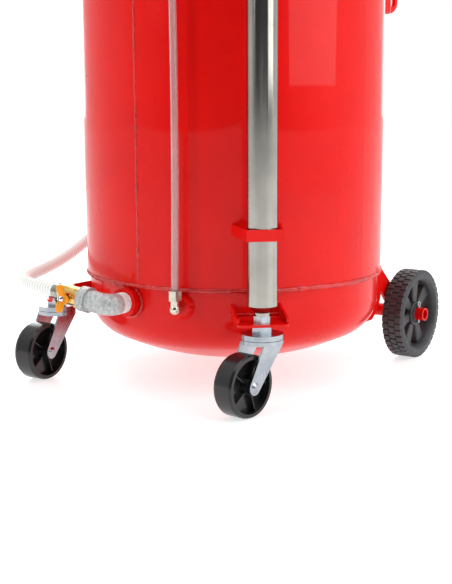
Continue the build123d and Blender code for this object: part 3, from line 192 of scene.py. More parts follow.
@dataclass(frozen=True)
class Finish:
    """A surface with drifting colour, uneven gloss and fine relief."""

    name: str
    tone: Colour
    drift: Colour
    rough: tuple[float, float] = (0.3, 0.42)
    metal: float = 0.0
    coat: float = 0.0
    coat_rough: float = 0.08
    clear: float = 0.0
    ior: float = 1.5
    shine: float = 0.5
    # painted light: strength of a white emission that makes a piece glow though it is no lamp
    painted_glow: float = 0.0
    patch: float = 14.0
    fine: float = 900.0
    depth: float = 0.00012
    relief: float = 0.35
    stretch: tuple[float, float, float] = (1.0, 1.0, 1.0)

    def colour(self, board: NodeBoard) -> bpy.types.NodeSocket:
        """Colour that drifts over the piece."""
        return board.ramp(board.grain(self.patch, 5), self.tone, self.drift)

    def normal(self, board: NodeBoard) -> bpy.types.NodeSocket:
        """Fine relief of the surface."""
        fine = board.grain(self.fine, 3, where=board.stretched(self.stretch))
        return board.bump(fine, self.depth, self.relief)

    def make(self) -> bpy.types.Material:
        """Write the material.

        Returns:
            The finished material.
        """
        board = NodeBoard(self.name)
        shader = board.shader.inputs
        shader["Metallic"].default_value = self.metal
        shader["Coat Weight"].default_value = self.coat
        shader["Coat Roughness"].default_value = self.coat_rough
        shader["Transmission Weight"].default_value = self.clear
        shader["IOR"].default_value = self.ior
        shader["Specular IOR Level"].default_value = self.shine
        # Painted light: a near-white emission makes the piece glow by itself, at the strength of its painted glow.
        shader["Emission Color"].default_value = (1.0, 1.0, 0.98, 1.0)
        shader["Emission Strength"].default_value = self.painted_glow
        board.link(self.colour(board), shader["Base Color"])
        gloss = board.grain(self.patch * 2.3, 6, where=board.stretched(self.stretch))
        board.link(board.span(gloss, *self.rough), shader["Roughness"])
        board.link(self.normal(board), shader["Normal"])
        return board.material


@dataclass(frozen=True)
class SprayedPaint(Finish):
    """Glossy paint with the soft dimples of a sprayed coat."""

    dimple: float = 170.0
    dent: float = 5.0
    dent_depth: float = 0.0012

    def normal(self, board: NodeBoard) -> bpy.types.NodeSocket:
        """Long dents of the plate under the dimples of the coat."""
        plate = board.bump(board.grain(self.dent, 1), self.dent_depth, 0.10)
        return board.bump(board.grain(self.dimple, 2), self.depth, self.relief, plate)


@dataclass(frozen=True)
class DippedZinc(Finish):
    """Hot-dipped zinc with its cells and grey stains."""

    COLOUR_A: ClassVar[int] = 6
    COLOUR_B: ClassVar[int] = 7
    COLOUR_OUT: ClassVar[int] = 2
    cell: float = 160.0

    def colour(self, board: NodeBoard) -> bpy.types.NodeSocket:
        """Cells of zinc, stained in patches.

        Args:
            board: the material's nodes.

        Returns:
            The colour.
        """
        cells = board.add("ShaderNodeTexVoronoi", Scale=self.cell)
        board.link(board.place, cells.inputs["Vector"])
        mix = board.add("ShaderNodeMix")
        mix.data_type = "RGBA"
        board.link(board.grain(60.0, 6), mix.inputs[0])
        cell_colour = board.ramp(cells.outputs["Distance"], self.tone, self.drift, 0.1, 0.8)
        stain = board.ramp(board.grain(220.0, 4), self.drift, self.tone)
        board.link(cell_colour, mix.inputs[self.COLOUR_A])
        board.link(stain, mix.inputs[self.COLOUR_B])
        return mix.outputs[self.COLOUR_OUT]


@dataclass(frozen=True)
class SpiralHose(Finish):
    """Clear soft wall with a paler moulded spiral, read from the hose's own attribute."""

    def colour(self, board: NodeBoard) -> bpy.types.NodeSocket:
        """Clear between the turns and milky on them.

        Args:
            board: the material's nodes.

        Returns:
            The colour.
        """
        rib = board.add("ShaderNodeAttribute")
        rib.attribute_name = "rib"
        return board.ramp(rib.outputs["Fac"], self.tone, self.drift, 0.3, 0.8)


FINISHES: dict[str, Finish] = {
    "red_paint": SprayedPaint("Red_gloss_paint", (0.80, 0.004, 0.002), (0.73, 0.003, 0.002),
                              (0.26, 0.34), shine=0.10, coat=0.30, coat_rough=0.03, relief=0.06),
    "weld_paint": SprayedPaint("Red_paint_on_weld", (0.74, 0.004, 0.002), (0.42, 0.003, 0.002),
                               (0.20, 0.32), shine=0.25, coat=0.8, fine=500.0, dimple=420.0,
                               depth=0.0005, relief=0.5),
    "stainless": Finish("Drawn_stainless", (0.44, 0.425, 0.39), (0.34, 0.33, 0.30), (0.10, 0.18), 1.0,
                        fine=260.0, depth=0.00006, relief=0.3, stretch=(6.0, 6.0, 0.12)),
    "zinc_plate": Finish("Bright_zinc_plate", (0.46, 0.50, 0.54), (0.34, 0.38, 0.42), (0.18, 0.32), 1.0,
                         patch=45.0, fine=600.0, relief=0.3),
    "black_plastic": Finish("Glossy_black_nylon", (0.010, 0.010, 0.011), (0.016, 0.016, 0.017),
                            (0.16, 0.26), patch=30.0, fine=1400.0, depth=0.00005, relief=0.08),
    "wheel_plastic": Finish("Dark_grey_wheel_plastic", (0.030, 0.032, 0.036), (0.045, 0.047, 0.052),
                            (0.40, 0.56), patch=50.0, fine=1500.0, relief=0.35),
    "brass": Finish("Machined_brass", (0.86, 0.60, 0.22), (0.78, 0.50, 0.16), (0.18, 0.32), 1.0,
                    patch=90.0, fine=800.0, relief=0.2),
    "nickel_brass": Finish("Nickelled_brass", (0.74, 0.70, 0.60), (0.62, 0.57, 0.47), (0.16, 0.30), 1.0,
                           patch=90.0, fine=800.0, relief=0.2),
    "galvanised_iron": DippedZinc("Hot_dipped_iron", (0.30, 0.33, 0.33), (0.66, 0.70, 0.69),
                                  (0.30, 0.50), 0.45, fine=520.0, depth=0.0009, relief=1.0, cell=420.0),
    "chrome": Finish("Bright_chrome", (0.80, 0.80, 0.80), (0.72, 0.72, 0.73), (0.06, 0.14), 1.0,
                     fine=700.0, relief=0.08),
    "yellow_paint": SprayedPaint("Yellow_lever_paint", (0.96, 0.36, 0.006), (0.90, 0.30, 0.005),
                                 (0.30, 0.42), shine=0.2, coat=0.15, dimple=500.0, depth=0.0002,
                                 relief=0.25),
    "seal_rubber": Finish("Black_rubber", (0.020, 0.020, 0.020), (0.032, 0.031, 0.030), (0.62, 0.78),
                          patch=40.0, fine=1100.0, relief=0.5),
    "seat_plastic": Finish("White_seat_plastic", (0.80, 0.80, 0.78), (0.70, 0.70, 0.68), (0.35, 0.5)),
    "thread_tape": Finish("White_thread_tape", (0.96, 0.96, 0.95), (0.88, 0.88, 0.87), (0.5, 0.65),
                          patch=300.0, fine=1300.0, depth=0.0004, relief=0.7, stretch=(1.0, 5.0, 1.0)),
    # the clear tube's faint pink tint is a painted reflection of the red tank behind it
    "clear_plastic": Finish("Clear_tube_plastic_pink_painted_reflection", (0.94, 0.90, 0.90), (0.88, 0.84, 0.85), (0.05, 0.12),
                            clear=0.85, ior=1.45, relief=0.08),
    # painted light: the hose glows white through a small emission, which covers the red light bounced onto it from
    # the tank
    "spiral_hose": SpiralHose("Clear_spiral_hose", (0.60, 0.65, 0.61), (0.97, 0.98, 0.96), (0.16, 0.30),
                              clear=0.04, ior=1.42, painted_glow=0.22, relief=0.1),
    "red_enamel": Finish("Red_enamel", (0.60, 0.012, 0.010), (0.50, 0.010, 0.009), (0.2, 0.3), coat=0.5),
    "needle_black": Finish("Needle_black", (0.015, 0.015, 0.015), (0.025, 0.025, 0.025), (0.4, 0.5)),
}


class PaintShop:
    """Makes each finish once and puts it on pieces."""

    def __init__(self) -> None:
        """Start with no material made."""
        self.made: dict[str, bpy.types.Material] = {}

    def mix(self, finish: str) -> bpy.types.Material:
        """The material of a named finish.

        Args:
            finish: the finish's key.

        Returns:
            Its material, made at the first call.
        """
        if finish not in self.made:
            self.made[finish] = FINISHES[finish].make()
        return self.made[finish]

    def coat(self, piece: bpy.types.Object, finish: str) -> None:
        """Put a finish in each of a piece's material slots.

        Args:
            piece: the piece.
            finish: the finish's key.
        """
        if not piece.material_slots:
            piece.data.materials.append(self.mix(finish))
        for slot in piece.material_slots:
            slot.material = self.mix(finish)

    def dress_frame(self) -> None:
        """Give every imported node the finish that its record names."""
        for part in frame["record"]["subparts"]:
            self.coat(frame["nodes"][part["node"]], part["material_slot"])
            log.info("finish %s on %s", part["material_slot"], part["node"])


SHOP = PaintShop()


# ---------------------------------------------------------------- making
def finish_piece(name: str, mesh: bmesh.types.BMesh, finish: str, body: str,
                 crease: float = 35.0) -> bpy.types.Object:
    """Turn a bmesh into a dressed piece that rides on a body.

    Args:
        name: the piece's name.
        mesh: its shape in the row's frame, in metres.
        finish: the finish it gets.
        body: the body it rides on.
        crease: the angle in degrees above which an edge stays sharp.

    Returns:
        The piece.
    """
    bmesh.ops.recalc_face_normals(mesh, faces=mesh.faces)
    for face in mesh.faces:
        face.smooth = True
    for edge in mesh.edges:
        edge.smooth = not edge.is_manifold or edge.calc_face_angle(0.0) < math.radians(crease)
    data = bpy.data.meshes.new(name)
    mesh.to_mesh(data)
    mesh.free()
    piece = bpy.data.objects.new(name, data)
    bpy.context.scene.collection.objects.link(piece)
    SHOP.coat(piece, finish)
    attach(piece, body)
    log.info("piece %s: %d faces, on %s", name, len(data.polygons), body)
    return piece


def along(axis: Vector, origin: Vector) -> Matrix:
    """A place whose Z runs along an axis through a point."""
    return Matrix.Translation(origin) @ axis.to_track_quat("Z", "Y").to_matrix().to_4x4()


def turn_outline(mesh: bmesh.types.BMesh, outline: Sequence[tuple[float, float]], place: Matrix,
                 steps: int = 64) -> list[bmesh.types.BMVert]:
    """Spin a closed outline round a place's Z axis.

    Args:
        mesh: the bmesh that gets it.
        outline: radius and height of each corner, in millimetres.
        place: where the axis is.
        steps: steps of the full turn.

    Returns:
        The new vertices.
    """
    before = set(mesh.verts)
    corners = [mesh.verts.new(place @ Vector((r * MM, 0.0, h * MM))) for r, h in outline]
    edges = [mesh.edges.new((a, b)) for a, b in zip(corners, corners[1:] + corners[:1])]
    axis = place.to_3x3() @ Vector((0, 0, 1))
    bmesh.ops.spin(mesh, geom=corners + edges, cent=place.translation, axis=axis, dvec=(0, 0, 0),
                   angle=2 * math.pi, steps=steps, use_merge=True, use_duplicate=False)
    return [v for v in mesh.verts if v not in before]


def block(mesh: bmesh.types.BMesh, size: Sequence[float], place: Matrix, edge: float = 0.0,
          taper: float = 1.0) -> None:
    """A block with eased edges, narrower or wider at its outer end.

    Args:
        mesh: the bmesh that gets it.
        size: lengths along X, Y and Z, in millimetres.
        place: where its middle is.
        edge: width of the eased edges, in millimetres.
        taper: width in Y at its +X end over that at its -X end.
    """
    made = bmesh.ops.create_cube(mesh, size=1.0)["verts"]
    bmesh.ops.scale(mesh, vec=Vector(size) * MM, verts=made)
    far = [v for v in made if v.co.x > 0]
    bmesh.ops.scale(mesh, vec=(1, taper, 1), verts=far)
    if edge:
        rims = list({e for v in made for e in v.link_edges})
        done = bmesh.ops.bevel(mesh, geom=rims, offset=edge * MM, segments=1, profile=0.5, affect="EDGES",
                               material=-1)
        made = list({v for f in done["faces"] for v in f.verts})
    bmesh.ops.transform(mesh, matrix=place, verts=made)


@dataclass
class Run:
    """A line in space that a round section follows."""

    points: list[Vector]
    closed: bool = False

    def length(self) -> float:
        """The line's length in metres."""
        return sum((b - a).length for a, b in zip(self.points, self.points[1:]))

    def resampled(self, step: float) -> "Run":
        """The same line with evenly spaced points.

        Args:
            step: the spacing in metres.

        Returns:
            The new line.
        """
        count = max(8, round(self.length() / step))
        gap, out, walked, i = self.length() / count, [self.points[0].copy()], 0.0, 0
        for k in range(1, count):
            while walked + (self.points[i + 1] - self.points[i]).length < k * gap:
                walked += (self.points[i + 1] - self.points[i]).length
                i += 1
            edge = self.points[i + 1] - self.points[i]
            out.append(self.points[i] + edge * ((k * gap - walked) / edge.length))
        return Run(out + [self.points[-1].copy()], self.closed)

    def frames(self) -> list[tuple[Vector, Vector, Vector]]:
        """Carry a frame along the line without twist.

        Returns:
            Point, side and rise at each of its points.
        """
        out: list[tuple[Vector, Vector, Vector]] = []
        last = len(self.points) - 1
        side = Vector()
        for i, point in enumerate(self.points):
            if self.closed and i in (0, last):
                way = (self.points[1] - self.points[last - 1]).normalized()
            else:
                way = (self.points[min(i + 1, last)] - self.points[max(i - 1, 0)]).normalized()
            if i == 0:
                side = way.orthogonal().normalized()
            side = (side - way * side.dot(way)).normalized()
            out.append((point, side, way.cross(side)))
        return out

    def wrap(self, mesh: bmesh.types.BMesh, around: int, radius: Shape) -> None:
        """Roll a grid round the line into a tube.

        Args:
            mesh: an empty bmesh that gets it.
            around: faces round the tube.
            radius: radius in metres by distance along and angle round.
        """
        frames, rows = self.frames(), len(self.points)
        bmesh.ops.create_grid(mesh, x_segments=rows - 1, y_segments=around, size=1.0)
        step = self.length() / (rows - 1)
        for vert in mesh.verts:
            i = round((vert.co.x + 1) / 2 * (rows - 1))
            turn = round((vert.co.y + 1) / 2 * around) % around * 2 * math.pi / around
            point, side, rise = frames[i]
            far = radius(i * step, turn)
            vert.co = point + (side * math.cos(turn) + rise * math.sin(turn)) * far
        bmesh.ops.remove_doubles(mesh, verts=mesh.verts, dist=MERGE)


# ---------------------------------------------------------------- welds
@dataclass
class TankWelds:
    """The weld beads that hold the plate work together, under the paint."""

    shell_r: float = 200.0
    neck_r: float = 196.5
    low_lap: float = 136.6
    high_lap: float = 623.0
    seam_angle: float = -1.0
    seam_step: float = 2.0
    ripple: float = 3.1
    ripple_height: float = 0.12
    drift_height: float = 0.38
    row: float = 1.1
    lap_out: tuple[float, float] = (1.7, 1.6)
    lap_size: tuple[float, float] = (3.1, 2.7)
    plate_size: float = 2.3
    boss_size: float = 2.4
    sight_ring: float = 12.6
    sight_size: float = 1.6
    socket_ring: float = 31.2
    bracket_z: float = 107.2
    bracket_half: float = 9.6
    brackets: tuple[float, float] = (-43.0, 43.0)
    boss: tuple[float, float, float] = (-21.0, 116.0, 19.5)
    sight_angle: float = 16.3
    sight_zs: tuple[float, float] = (116.0, 600.0)
    dome_top: float = 740.2

    def spot(self, angle: float, radius: float, z: float) -> Vector:
        """A point on the tank.

        Args:
            angle: degrees from the front.
            radius: distance from the tank's axis, in millimetres.
            z: height in millimetres.

        Returns:
            The point, in metres.
        """
        turn = math.radians(angle)
        return Vector((radius * math.sin(turn), -radius * math.cos(turn), z)) * MM

    def bead(self, name: str, line: list[Vector], size: float, closed: bool = False) -> None:
        """Lay one rippled bead along a line.

        Args:
            name: the piece's name.
            line: its points.
            size: its radius in millimetres.
            closed: whether it ends where it starts.
        """
        run = Run(line, closed).resampled(self.row * MM)
        total = run.length()

        def radius(way: float, turn: float) -> float:
            """Ripples of the pool, uneven from place to place, with rounded ends.

            Args:
                way: distance along the bead, in metres.
                turn: angle round it.

            Returns:
                The bead's radius there, in metres.
            """
            wave = math.sin(2 * math.pi * way / (self.ripple * MM))
            loop = 2 * math.pi * way / total
            ring = Vector((math.cos(loop), math.sin(loop), 0.0)) * total * 22
            drift = noise.noise(ring if closed else Vector((way * 140, 0.0, size)))
            swell = size * (1 + self.ripple_height * wave + self.drift_height * drift) * MM
            end = min(way, total - way)
            return swell if closed else swell * math.sqrt(min(1.0, max(0.0, end / (2 * size * MM))))

        mesh = bmesh.new()
        run.wrap(mesh, 10, radius)
        finish_piece(name, mesh, "weld_paint", "tank", 80.0)

    def ring(self, name: str, radius: float, z: float, size: float) -> None:
        """Lay a bead right round the tank.

        Args:
            name: the piece's name.
            radius: radius of its line, in millimetres.
            z: its height.
            size: its own radius.
        """
        line = [self.spot(a * 0.5, radius, z + 0.35 * math.sin(a * 0.11)) for a in range(720)]
        self.bead(name, line + [line[0].copy()], size, True)

    def collar(self, name: str, x: float, z: float, reach: float, surface: float, turn: float,
               size: float) -> None:
        """Lay a bead round a fitting on the tank's upright wall.

        Args:
            name: the piece's name.
            x: the fitting's place across, before it is turned round the tank.
            z: its height.
            reach: radius of the bead's line.
            surface: radius of the wall.
            turn: angle round the tank, in degrees.
            size: the bead's radius.
        """
        line = []
        for a in range(121):
            across = x + reach * math.cos(math.radians(a * 3))
            up = z + reach * math.sin(math.radians(a * 3))
            out = Vector((across, -math.sqrt(surface ** 2 - across ** 2), up)) * MM
            line.append(Matrix.Rotation(math.radians(turn), 3, "Z") @ out)
        self.bead(name, line, size, True)

    def build(self) -> None:
        """Lay every bead."""
        laps = zip(("low", "high"), self.lap_out, (self.low_lap, self.high_lap), self.lap_size)
        for name, out, height, size in laps:
            self.ring(f"weld_{name}_lap", self.neck_r + out, height, size)
        seam = [self.spot(self.seam_angle, self.shell_r - 1.4, self.low_lap + 5 + i * self.seam_step)
                for i in range(239)]
        self.bead("weld_shell_seam", seam, self.plate_size)
        x, z, reach = self.boss
        self.collar("weld_drain_boss", x, z, reach, self.neck_r, 0.0, self.boss_size)
        for name, height, wall in zip(("low", "high"), self.sight_zs, (self.neck_r, self.shell_r)):
            self.collar(f"weld_sight_{name}", 0.0, height, self.sight_ring, wall, self.sight_angle,
                        self.sight_size)
        for side, middle in zip(Side, self.brackets):
            arc = [self.spot(middle + (i / 40 - 1) * self.bracket_half, self.neck_r + 0.6, self.bracket_z)
                   for i in range(81)]
            self.bead(f"weld_bracket_{side.value}", arc, self.plate_size)
        socket = [Vector((self.socket_ring * math.cos(a * math.pi / 90),
                          self.socket_ring * math.sin(a * math.pi / 90), self.dome_top - 1.0)) * MM
                  for a in range(181)]
        self.bead("weld_column_socket", socket, self.plate_size, True)


# ---------------------------------------------------------------- drain line
@dataclass
class ThreadTape:
    """White tape wound on the elbow's male end, with its ragged edge."""

    x: float = -21.0
    z: float = 116.0
    near: float = -207.8
    far: float = -221.2
    radius: float = 12.7
    inside: float = 11.9
    turns: int = 12
    edge: float = 0.35
    lump: float = 0.45
    fray: float = 0.7

    def build(self) -> None:
        """Wind the tape."""
        place = along(Vector((0, -1, 0)), Vector((self.x, self.near, self.z)) * MM)
        length = self.near - self.far
        outline = [(self.inside, 0.0)]
        outline += [(self.radius + self.edge * math.sin(i * 2.4), length * i / self.turns)
                    for i in range(self.turns + 1)]
        outline += [(self.inside, length)]
        mesh = bmesh.new()
        for vert in turn_outline(mesh, outline, place, 72):
            lump = noise.noise(vert.co * 420)
            axis = Vector((self.x * MM, vert.co.y, self.z * MM))
            away = (vert.co - axis).normalized()
            fray = self.fray * MM * noise.noise(vert.co * 160)
            vert.co += away * (self.lump * MM) * lump + Vector((0, fray, 0))
        finish_piece("thread_tape", mesh, "thread_tape", "tank", 60.0)


@dataclass
class WingHandle:
    """Cast handle of the drain valve: two rounded wings swept to the front and a thumb lobe."""

    corner: Colour = (-21.0, -236.0, 116.0)
    tilt: float = 6.5
    reach: float = 58.0
    face: float = 22.0
    thick: float = 2.6
    hub: float = 7.2
    thumb: tuple[float, float] = (5.2, 4.6)
    root: tuple[float, float] = (2.0, 4.6)
    tip: tuple[float, float, float] = (-0.6, 12.2, 5.7)
    sweep: float = 5.0
    easing: float = 0.5

    def place(self) -> Matrix:
        """Find the valve's middle.

        Returns:
            A place there, with Z to the front along its stem.
        """
        tilt = Matrix.Rotation(math.radians(self.tilt), 4, "Y")
        out = Matrix.Translation(Vector((-self.reach, 0, 0)) * MM)
        front = Matrix.Rotation(math.radians(90), 4, "X")
        return Matrix.Translation(Vector(self.corner) * MM) @ tilt @ out @ front

    def lobe(self, mesh: bmesh.types.BMesh, spots: Sequence[tuple[float, float, float, float]]) -> None:
        """Stretch a skin over round pads.

        Args:
            mesh: the bmesh that gets it.
            spots: X, Y, height and radius of each pad, in millimetres.
        """
        made: list[bmesh.types.BMVert] = []
        for x, y, rise, radius in spots:
            for level, ease in ((0.0, 0.7), (self.easing, 0.0), (self.thick - self.easing, 0.0),
                                (self.thick, 0.7)):
                spot = Vector((x, y, self.face - self.thick + rise + level)) * MM
                made += bmesh.ops.create_circle(mesh, segments=28, radius=(radius - ease) * MM,
                                                matrix=self.place() @ Matrix.Translation(spot))["verts"]
        bmesh.ops.remove_doubles(mesh, verts=made, dist=1e-7)
        hull = bmesh.ops.convex_hull(mesh, input=[v for v in made if v.is_valid])
        spare = [v for v in hull["geom_interior"] + hull["geom_unused"]
                 if isinstance(v, bmesh.types.BMVert)]
        bmesh.ops.delete(mesh, geom=list(set(spare)), context="VERTS")

    def build(self) -> None:
        """Cast the handle."""
        mesh = bmesh.new()
        (root, root_r), (lean, tip, tip_r), (thumb, thumb_r) = self.root, self.tip, self.thumb
        for way in (-1, 1):
            self.lobe(mesh, [(0.0, way * root, 0.0, root_r), (lean, way * tip, self.sweep, tip_r)])
        self.lobe(mesh, [(0.0, 0.0, 0.0, self.hub), (thumb, 0.0, 0.0, thumb_r)])
        handle = finish_piece("wing_handle", mesh, "yellow_paint", "drain_tap", 50.0)
        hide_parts("drain_valve_handle")


@dataclass
class DischargeHose:
    """Clear hose with a moulded spiral, from the drain valve round the tank to the spout."""

    outer: float = 8.5
    wall: float = 1.5
    pitch: float = 4.7
    rib: float = 0.85
    roundness: float = 0.8
    length: float = 1.367
    rows_a_turn: int = 6
    around: int = 20
    points: list[tuple[float, float, float]] = field(default_factory=lambda: [
        (-0.0995, -0.236, 0.1249), (-0.1233, -0.236, 0.1276), (-0.151, -0.235, 0.1295),
        (-0.178, -0.225, 0.1305), (-0.198, -0.204, 0.1315), (-0.212, -0.174, 0.132),
        (-0.227, -0.127, 0.135), (-0.241, -0.072, 0.144), (-0.25, -0.012, 0.166), (-0.244, 0.062, 0.206),
        (-0.192, 0.162, 0.29), (-0.107, 0.229, 0.372), (-0.009, 0.254, 0.455), (0.088, 0.238, 0.53),
        (0.171, 0.187, 0.577), (0.224, 0.11, 0.6), (0.252, 0.022, 0.622), (0.2502, -0.0662, 0.64),
        (0.214, -0.114, 0.64)])

    def route(self) -> list[Vector]:
        """Points read from the hose's own smooth line.

        Returns:
            The line's points, in metres.
        """
        curve = bpy.data.curves.new("hose_line", "CURVE")
        curve.dimensions = "3D"
        spline = curve.splines.new("NURBS")
        spline.points.add(len(self.points) - 1)
        for point, place in zip(spline.points, self.points):
            point.co = (*place, 1.0)
        spline.order_u = 3
        spline.use_endpoint_u = True
        spline.resolution_u = 24
        holder = bpy.data.objects.new("hose_line", curve)
        bpy.context.scene.collection.objects.link(holder)
        bpy.context.view_layer.update()
        flat = bpy.data.meshes.new_from_object(holder)
        line = [v.co.copy() for v in flat.vertices]
        bpy.data.objects.remove(holder)
        bpy.data.meshes.remove(flat)
        return line

    def build(self) -> None:
        line = self.route()
        run = Run(line).resampled(self.pitch * MM / self.rows_a_turn)

        def height(way: float, turn: float) -> float:
            """How high the spiral stands, 0 to 1."""
            return max(0.0, math.cos(2 * math.pi * way / (self.pitch * MM) - turn)) ** self.roundness

        mesh = bmesh.new()
        run.wrap(mesh, self.around, lambda way, turn: (
            self.outer - self.rib + self.rib * height(way, turn)) * MM)
        mesh.verts.layers.float.new("rib")
        hose = finish_piece("spiral_hose", mesh, "spiral_hose", "tank", 80.0)
        self.mark_ribs(hose, run)
        wall = hose.modifiers.new("wall", "SOLIDIFY")
        wall.thickness = self.wall * MM
        wall.offset = -1.0
        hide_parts("discharge_hose")

    def mark_ribs(self, hose: bpy.types.Object, run: Run) -> None:
        """Write on each point of the hose how far up the spiral it is.

        Args:
            hose: the hose.
            run: the line it follows.
        """
        tree = KDTree(len(run.points))
        for i, point in enumerate(run.points):
            tree.insert(point, i)
        tree.balance()
        rib = hose.data.attributes.get("rib")
        for i, vert in enumerate(hose.data.vertices):
            reach = tree.find(vert.co)[2] / MM
            rib.data[i].value = min(1.0, max(0.0, (reach - self.outer + self.rib) / self.rib))


# ---------------------------------------------------------------- wheels
@dataclass
class RearWheel:
    """Moulded wheel with tapered spokes, a stepped rim and three rows of tread lugs."""

    side: Side
    radius: float = 62.5
    half: float = 15.0
    rim_in: float = 46.5
    hub_r: float = 17.0
    hub_half: float = 10.0
    bore: float = 9.05
    spokes: int = 7
    lugs: int = 40
    lug: tuple[float, float, float] = (3.0, 7.9, 8.7)
    lug_rise: float = 1.7
    spoke: tuple[float, float] = (10.0, 12.0)
    spoke_sunk: float = 1.5
    rows: tuple[float, float, float] = (-9.6, 0.0, 9.6)

    def place(self) -> Matrix:
        """The wheel's middle, with Z along its axle."""
        low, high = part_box(f"rear_{self.side.value}_wheel")
        return along(Vector((1, 0, 0)), (low + high) / 2)

    def build(self) -> None:
        """Mould the wheel."""
        place, mesh = self.place(), bmesh.new()
        tread, edge = self.radius - self.lug_rise, self.half
        tyre = [(self.rim_in, -9.0), (self.rim_in + 2.5, -edge + 1.5), (self.rim_in + 5, -edge),
                (tread - 3.0, -edge), (tread - 0.8, -edge + 1.2), (tread, -edge + 3.2), (tread, edge - 3.2),
                (tread - 0.8, edge - 1.2), (tread - 3.0, edge), (self.rim_in + 5, edge),
                (self.rim_in + 2.5, edge - 1.5), (self.rim_in, 9.0)]
        turn_outline(mesh, tyre, place, 96)
        hub = [(self.bore, -self.hub_half), (13.2, -self.hub_half), (13.8, -self.hub_half + 1.6),
               (self.hub_r - 0.8, -self.hub_half + 1.6), (self.hub_r, -self.hub_half + 2.4),
               (self.hub_r, self.hub_half - 2.4), (self.hub_r - 0.8, self.hub_half - 1.6),
               (13.8, self.hub_half - 1.6), (13.2, self.hub_half), (self.bore, self.hub_half)]
        turn_outline(mesh, hub, place, 64)
        start = self.hub_r - self.spoke_sunk
        span = self.rim_in + self.spoke_sunk - start
        for i in range(self.spokes):
            turn = Matrix.Rotation(2 * math.pi * i / self.spokes + math.pi / 2, 4, "Z")
            middle = Matrix.Translation(Vector((start + span / 2, 0, 0)) * MM)
            block(mesh, (span, *self.spoke), place @ turn @ middle, 1.4, 2.0)
        for row, across in enumerate(self.rows):
            for i in range(self.lugs):
                turn = Matrix.Rotation(2 * math.pi * (i + 0.5 * (row % 2)) / self.lugs, 4, "Z")
                spot = Matrix.Translation(Vector((tread + 0.1, 0, across)) * MM)
                block(mesh, self.lug, place @ turn @ spot, 0.5)
        name = f"rear_{self.side.value}_wheel"
        wheel = finish_piece(f"{name}_moulded", mesh, "wheel_plastic",
                             f"rear_{self.side.value}_roll", 30.0)
        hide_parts(name)


@dataclass
class CasterRibs:
    """Ribs between the hub and the rim of a caster's wheel."""

    side: Side
    ribs: int = 5
    inner: float = 8.8
    outer: float = 32.6
    rise: float = 6.6
    thick: float = 1.5
    web_half: float = 3.3
    sunk: float = 0.4

    def build(self) -> None:
        """Add the ribs to both faces of the web."""
        body = f"caster_{self.side.value}_roll"
        joint = next(j for j in frame["joints"] if j["child"] == body)
        place = along(Vector(joint["axis"]), Vector(joint["pos_m"]))
        mesh = bmesh.new()
        for face in (-1, 1):
            for i in range(self.ribs):
                turn = Matrix.Rotation(2 * math.pi * i / self.ribs, 4, "Z")
                spot = Vector(((self.inner + self.outer) / 2, 0, face * (self.web_half + self.rise / 2)))
                block(mesh, (self.outer - self.inner, self.thick, self.rise + self.sunk),
                      place @ turn @ Matrix.Translation(spot * MM), 0.4)
        finish_piece(f"caster_{self.side.value}_ribs", mesh, "black_plastic", body, 30.0)


@dataclass
class PushGrip:
    """Rubber grip with turned grooves on the push handle."""

    radius: float = 15.0
    groove: float = 1.3
    pitch: float = 7.0
    bore: float = 11.05
    plain: float = 10.0
    chamfer: tuple[float, float] = (2.0, 2.5)

    def build(self) -> None:
        """Turn the grip."""
        low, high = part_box("handle_grip")
        middle, half = (low + high) / 2, (high.x - low.x) / 2 / MM
        place = along(Vector((1, 0, 0)), middle)
        drop, run = self.chamfer
        outline = [(self.bore, -half), (self.radius - drop, -half), (self.radius, -half + run)]
        count = int((2 * half - 2 * self.plain) / self.pitch)
        for i in range(count):
            start = -count * self.pitch / 2 + i * self.pitch
            outline += [(self.radius, start + 0.8), (self.radius - self.groove, start + 2.0),
                        (self.radius - self.groove, start + 3.2), (self.radius, start + 4.4)]
        outline += [(self.radius, half - run), (self.radius - drop, half), (self.bore, half)]
        mesh = bmesh.new()
        turn_outline(mesh, outline, place, 64)
        grip = finish_piece("grooved_grip", mesh, "seal_rubber", "tank", 40.0)
        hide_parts("handle_grip")


@dataclass
class GaugeScale:
    """Raised marks round the gauge's dial, with no lettering."""

    marks: int = 31
    sweep: float = 270.0
    ring: float = 22.0
    depth: float = 6.0
    every: int = 5
    bold: tuple[float, float, float] = (5.0, 0.9, 0.3)
    thin: tuple[float, float, float] = (2.6, 0.5, 0.3)

    def build(self) -> None:
        """Set the marks on the dial."""
        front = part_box("gauge_case")[0].y
        low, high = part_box("gauge_lens")
        middle = (low + high) / 2
        place = along(Vector((0, -1, 0)), Vector((middle.x, front + self.depth * MM, middle.z)))
        mesh = bmesh.new()
        for i in range(self.marks):
            angle = math.radians(90 - self.sweep / 2 + self.sweep * i / (self.marks - 1))
            size = self.thin if i % self.every else self.bold
            spot = Matrix.Translation(Vector((self.ring - size[0] / 2, 0, size[2] / 2)) * MM)
            block(mesh, size, place @ Matrix.Rotation(angle, 4, "Z") @ spot)
        finish_piece("gauge_scale", mesh, "thread_tape", "tank", 30.0)


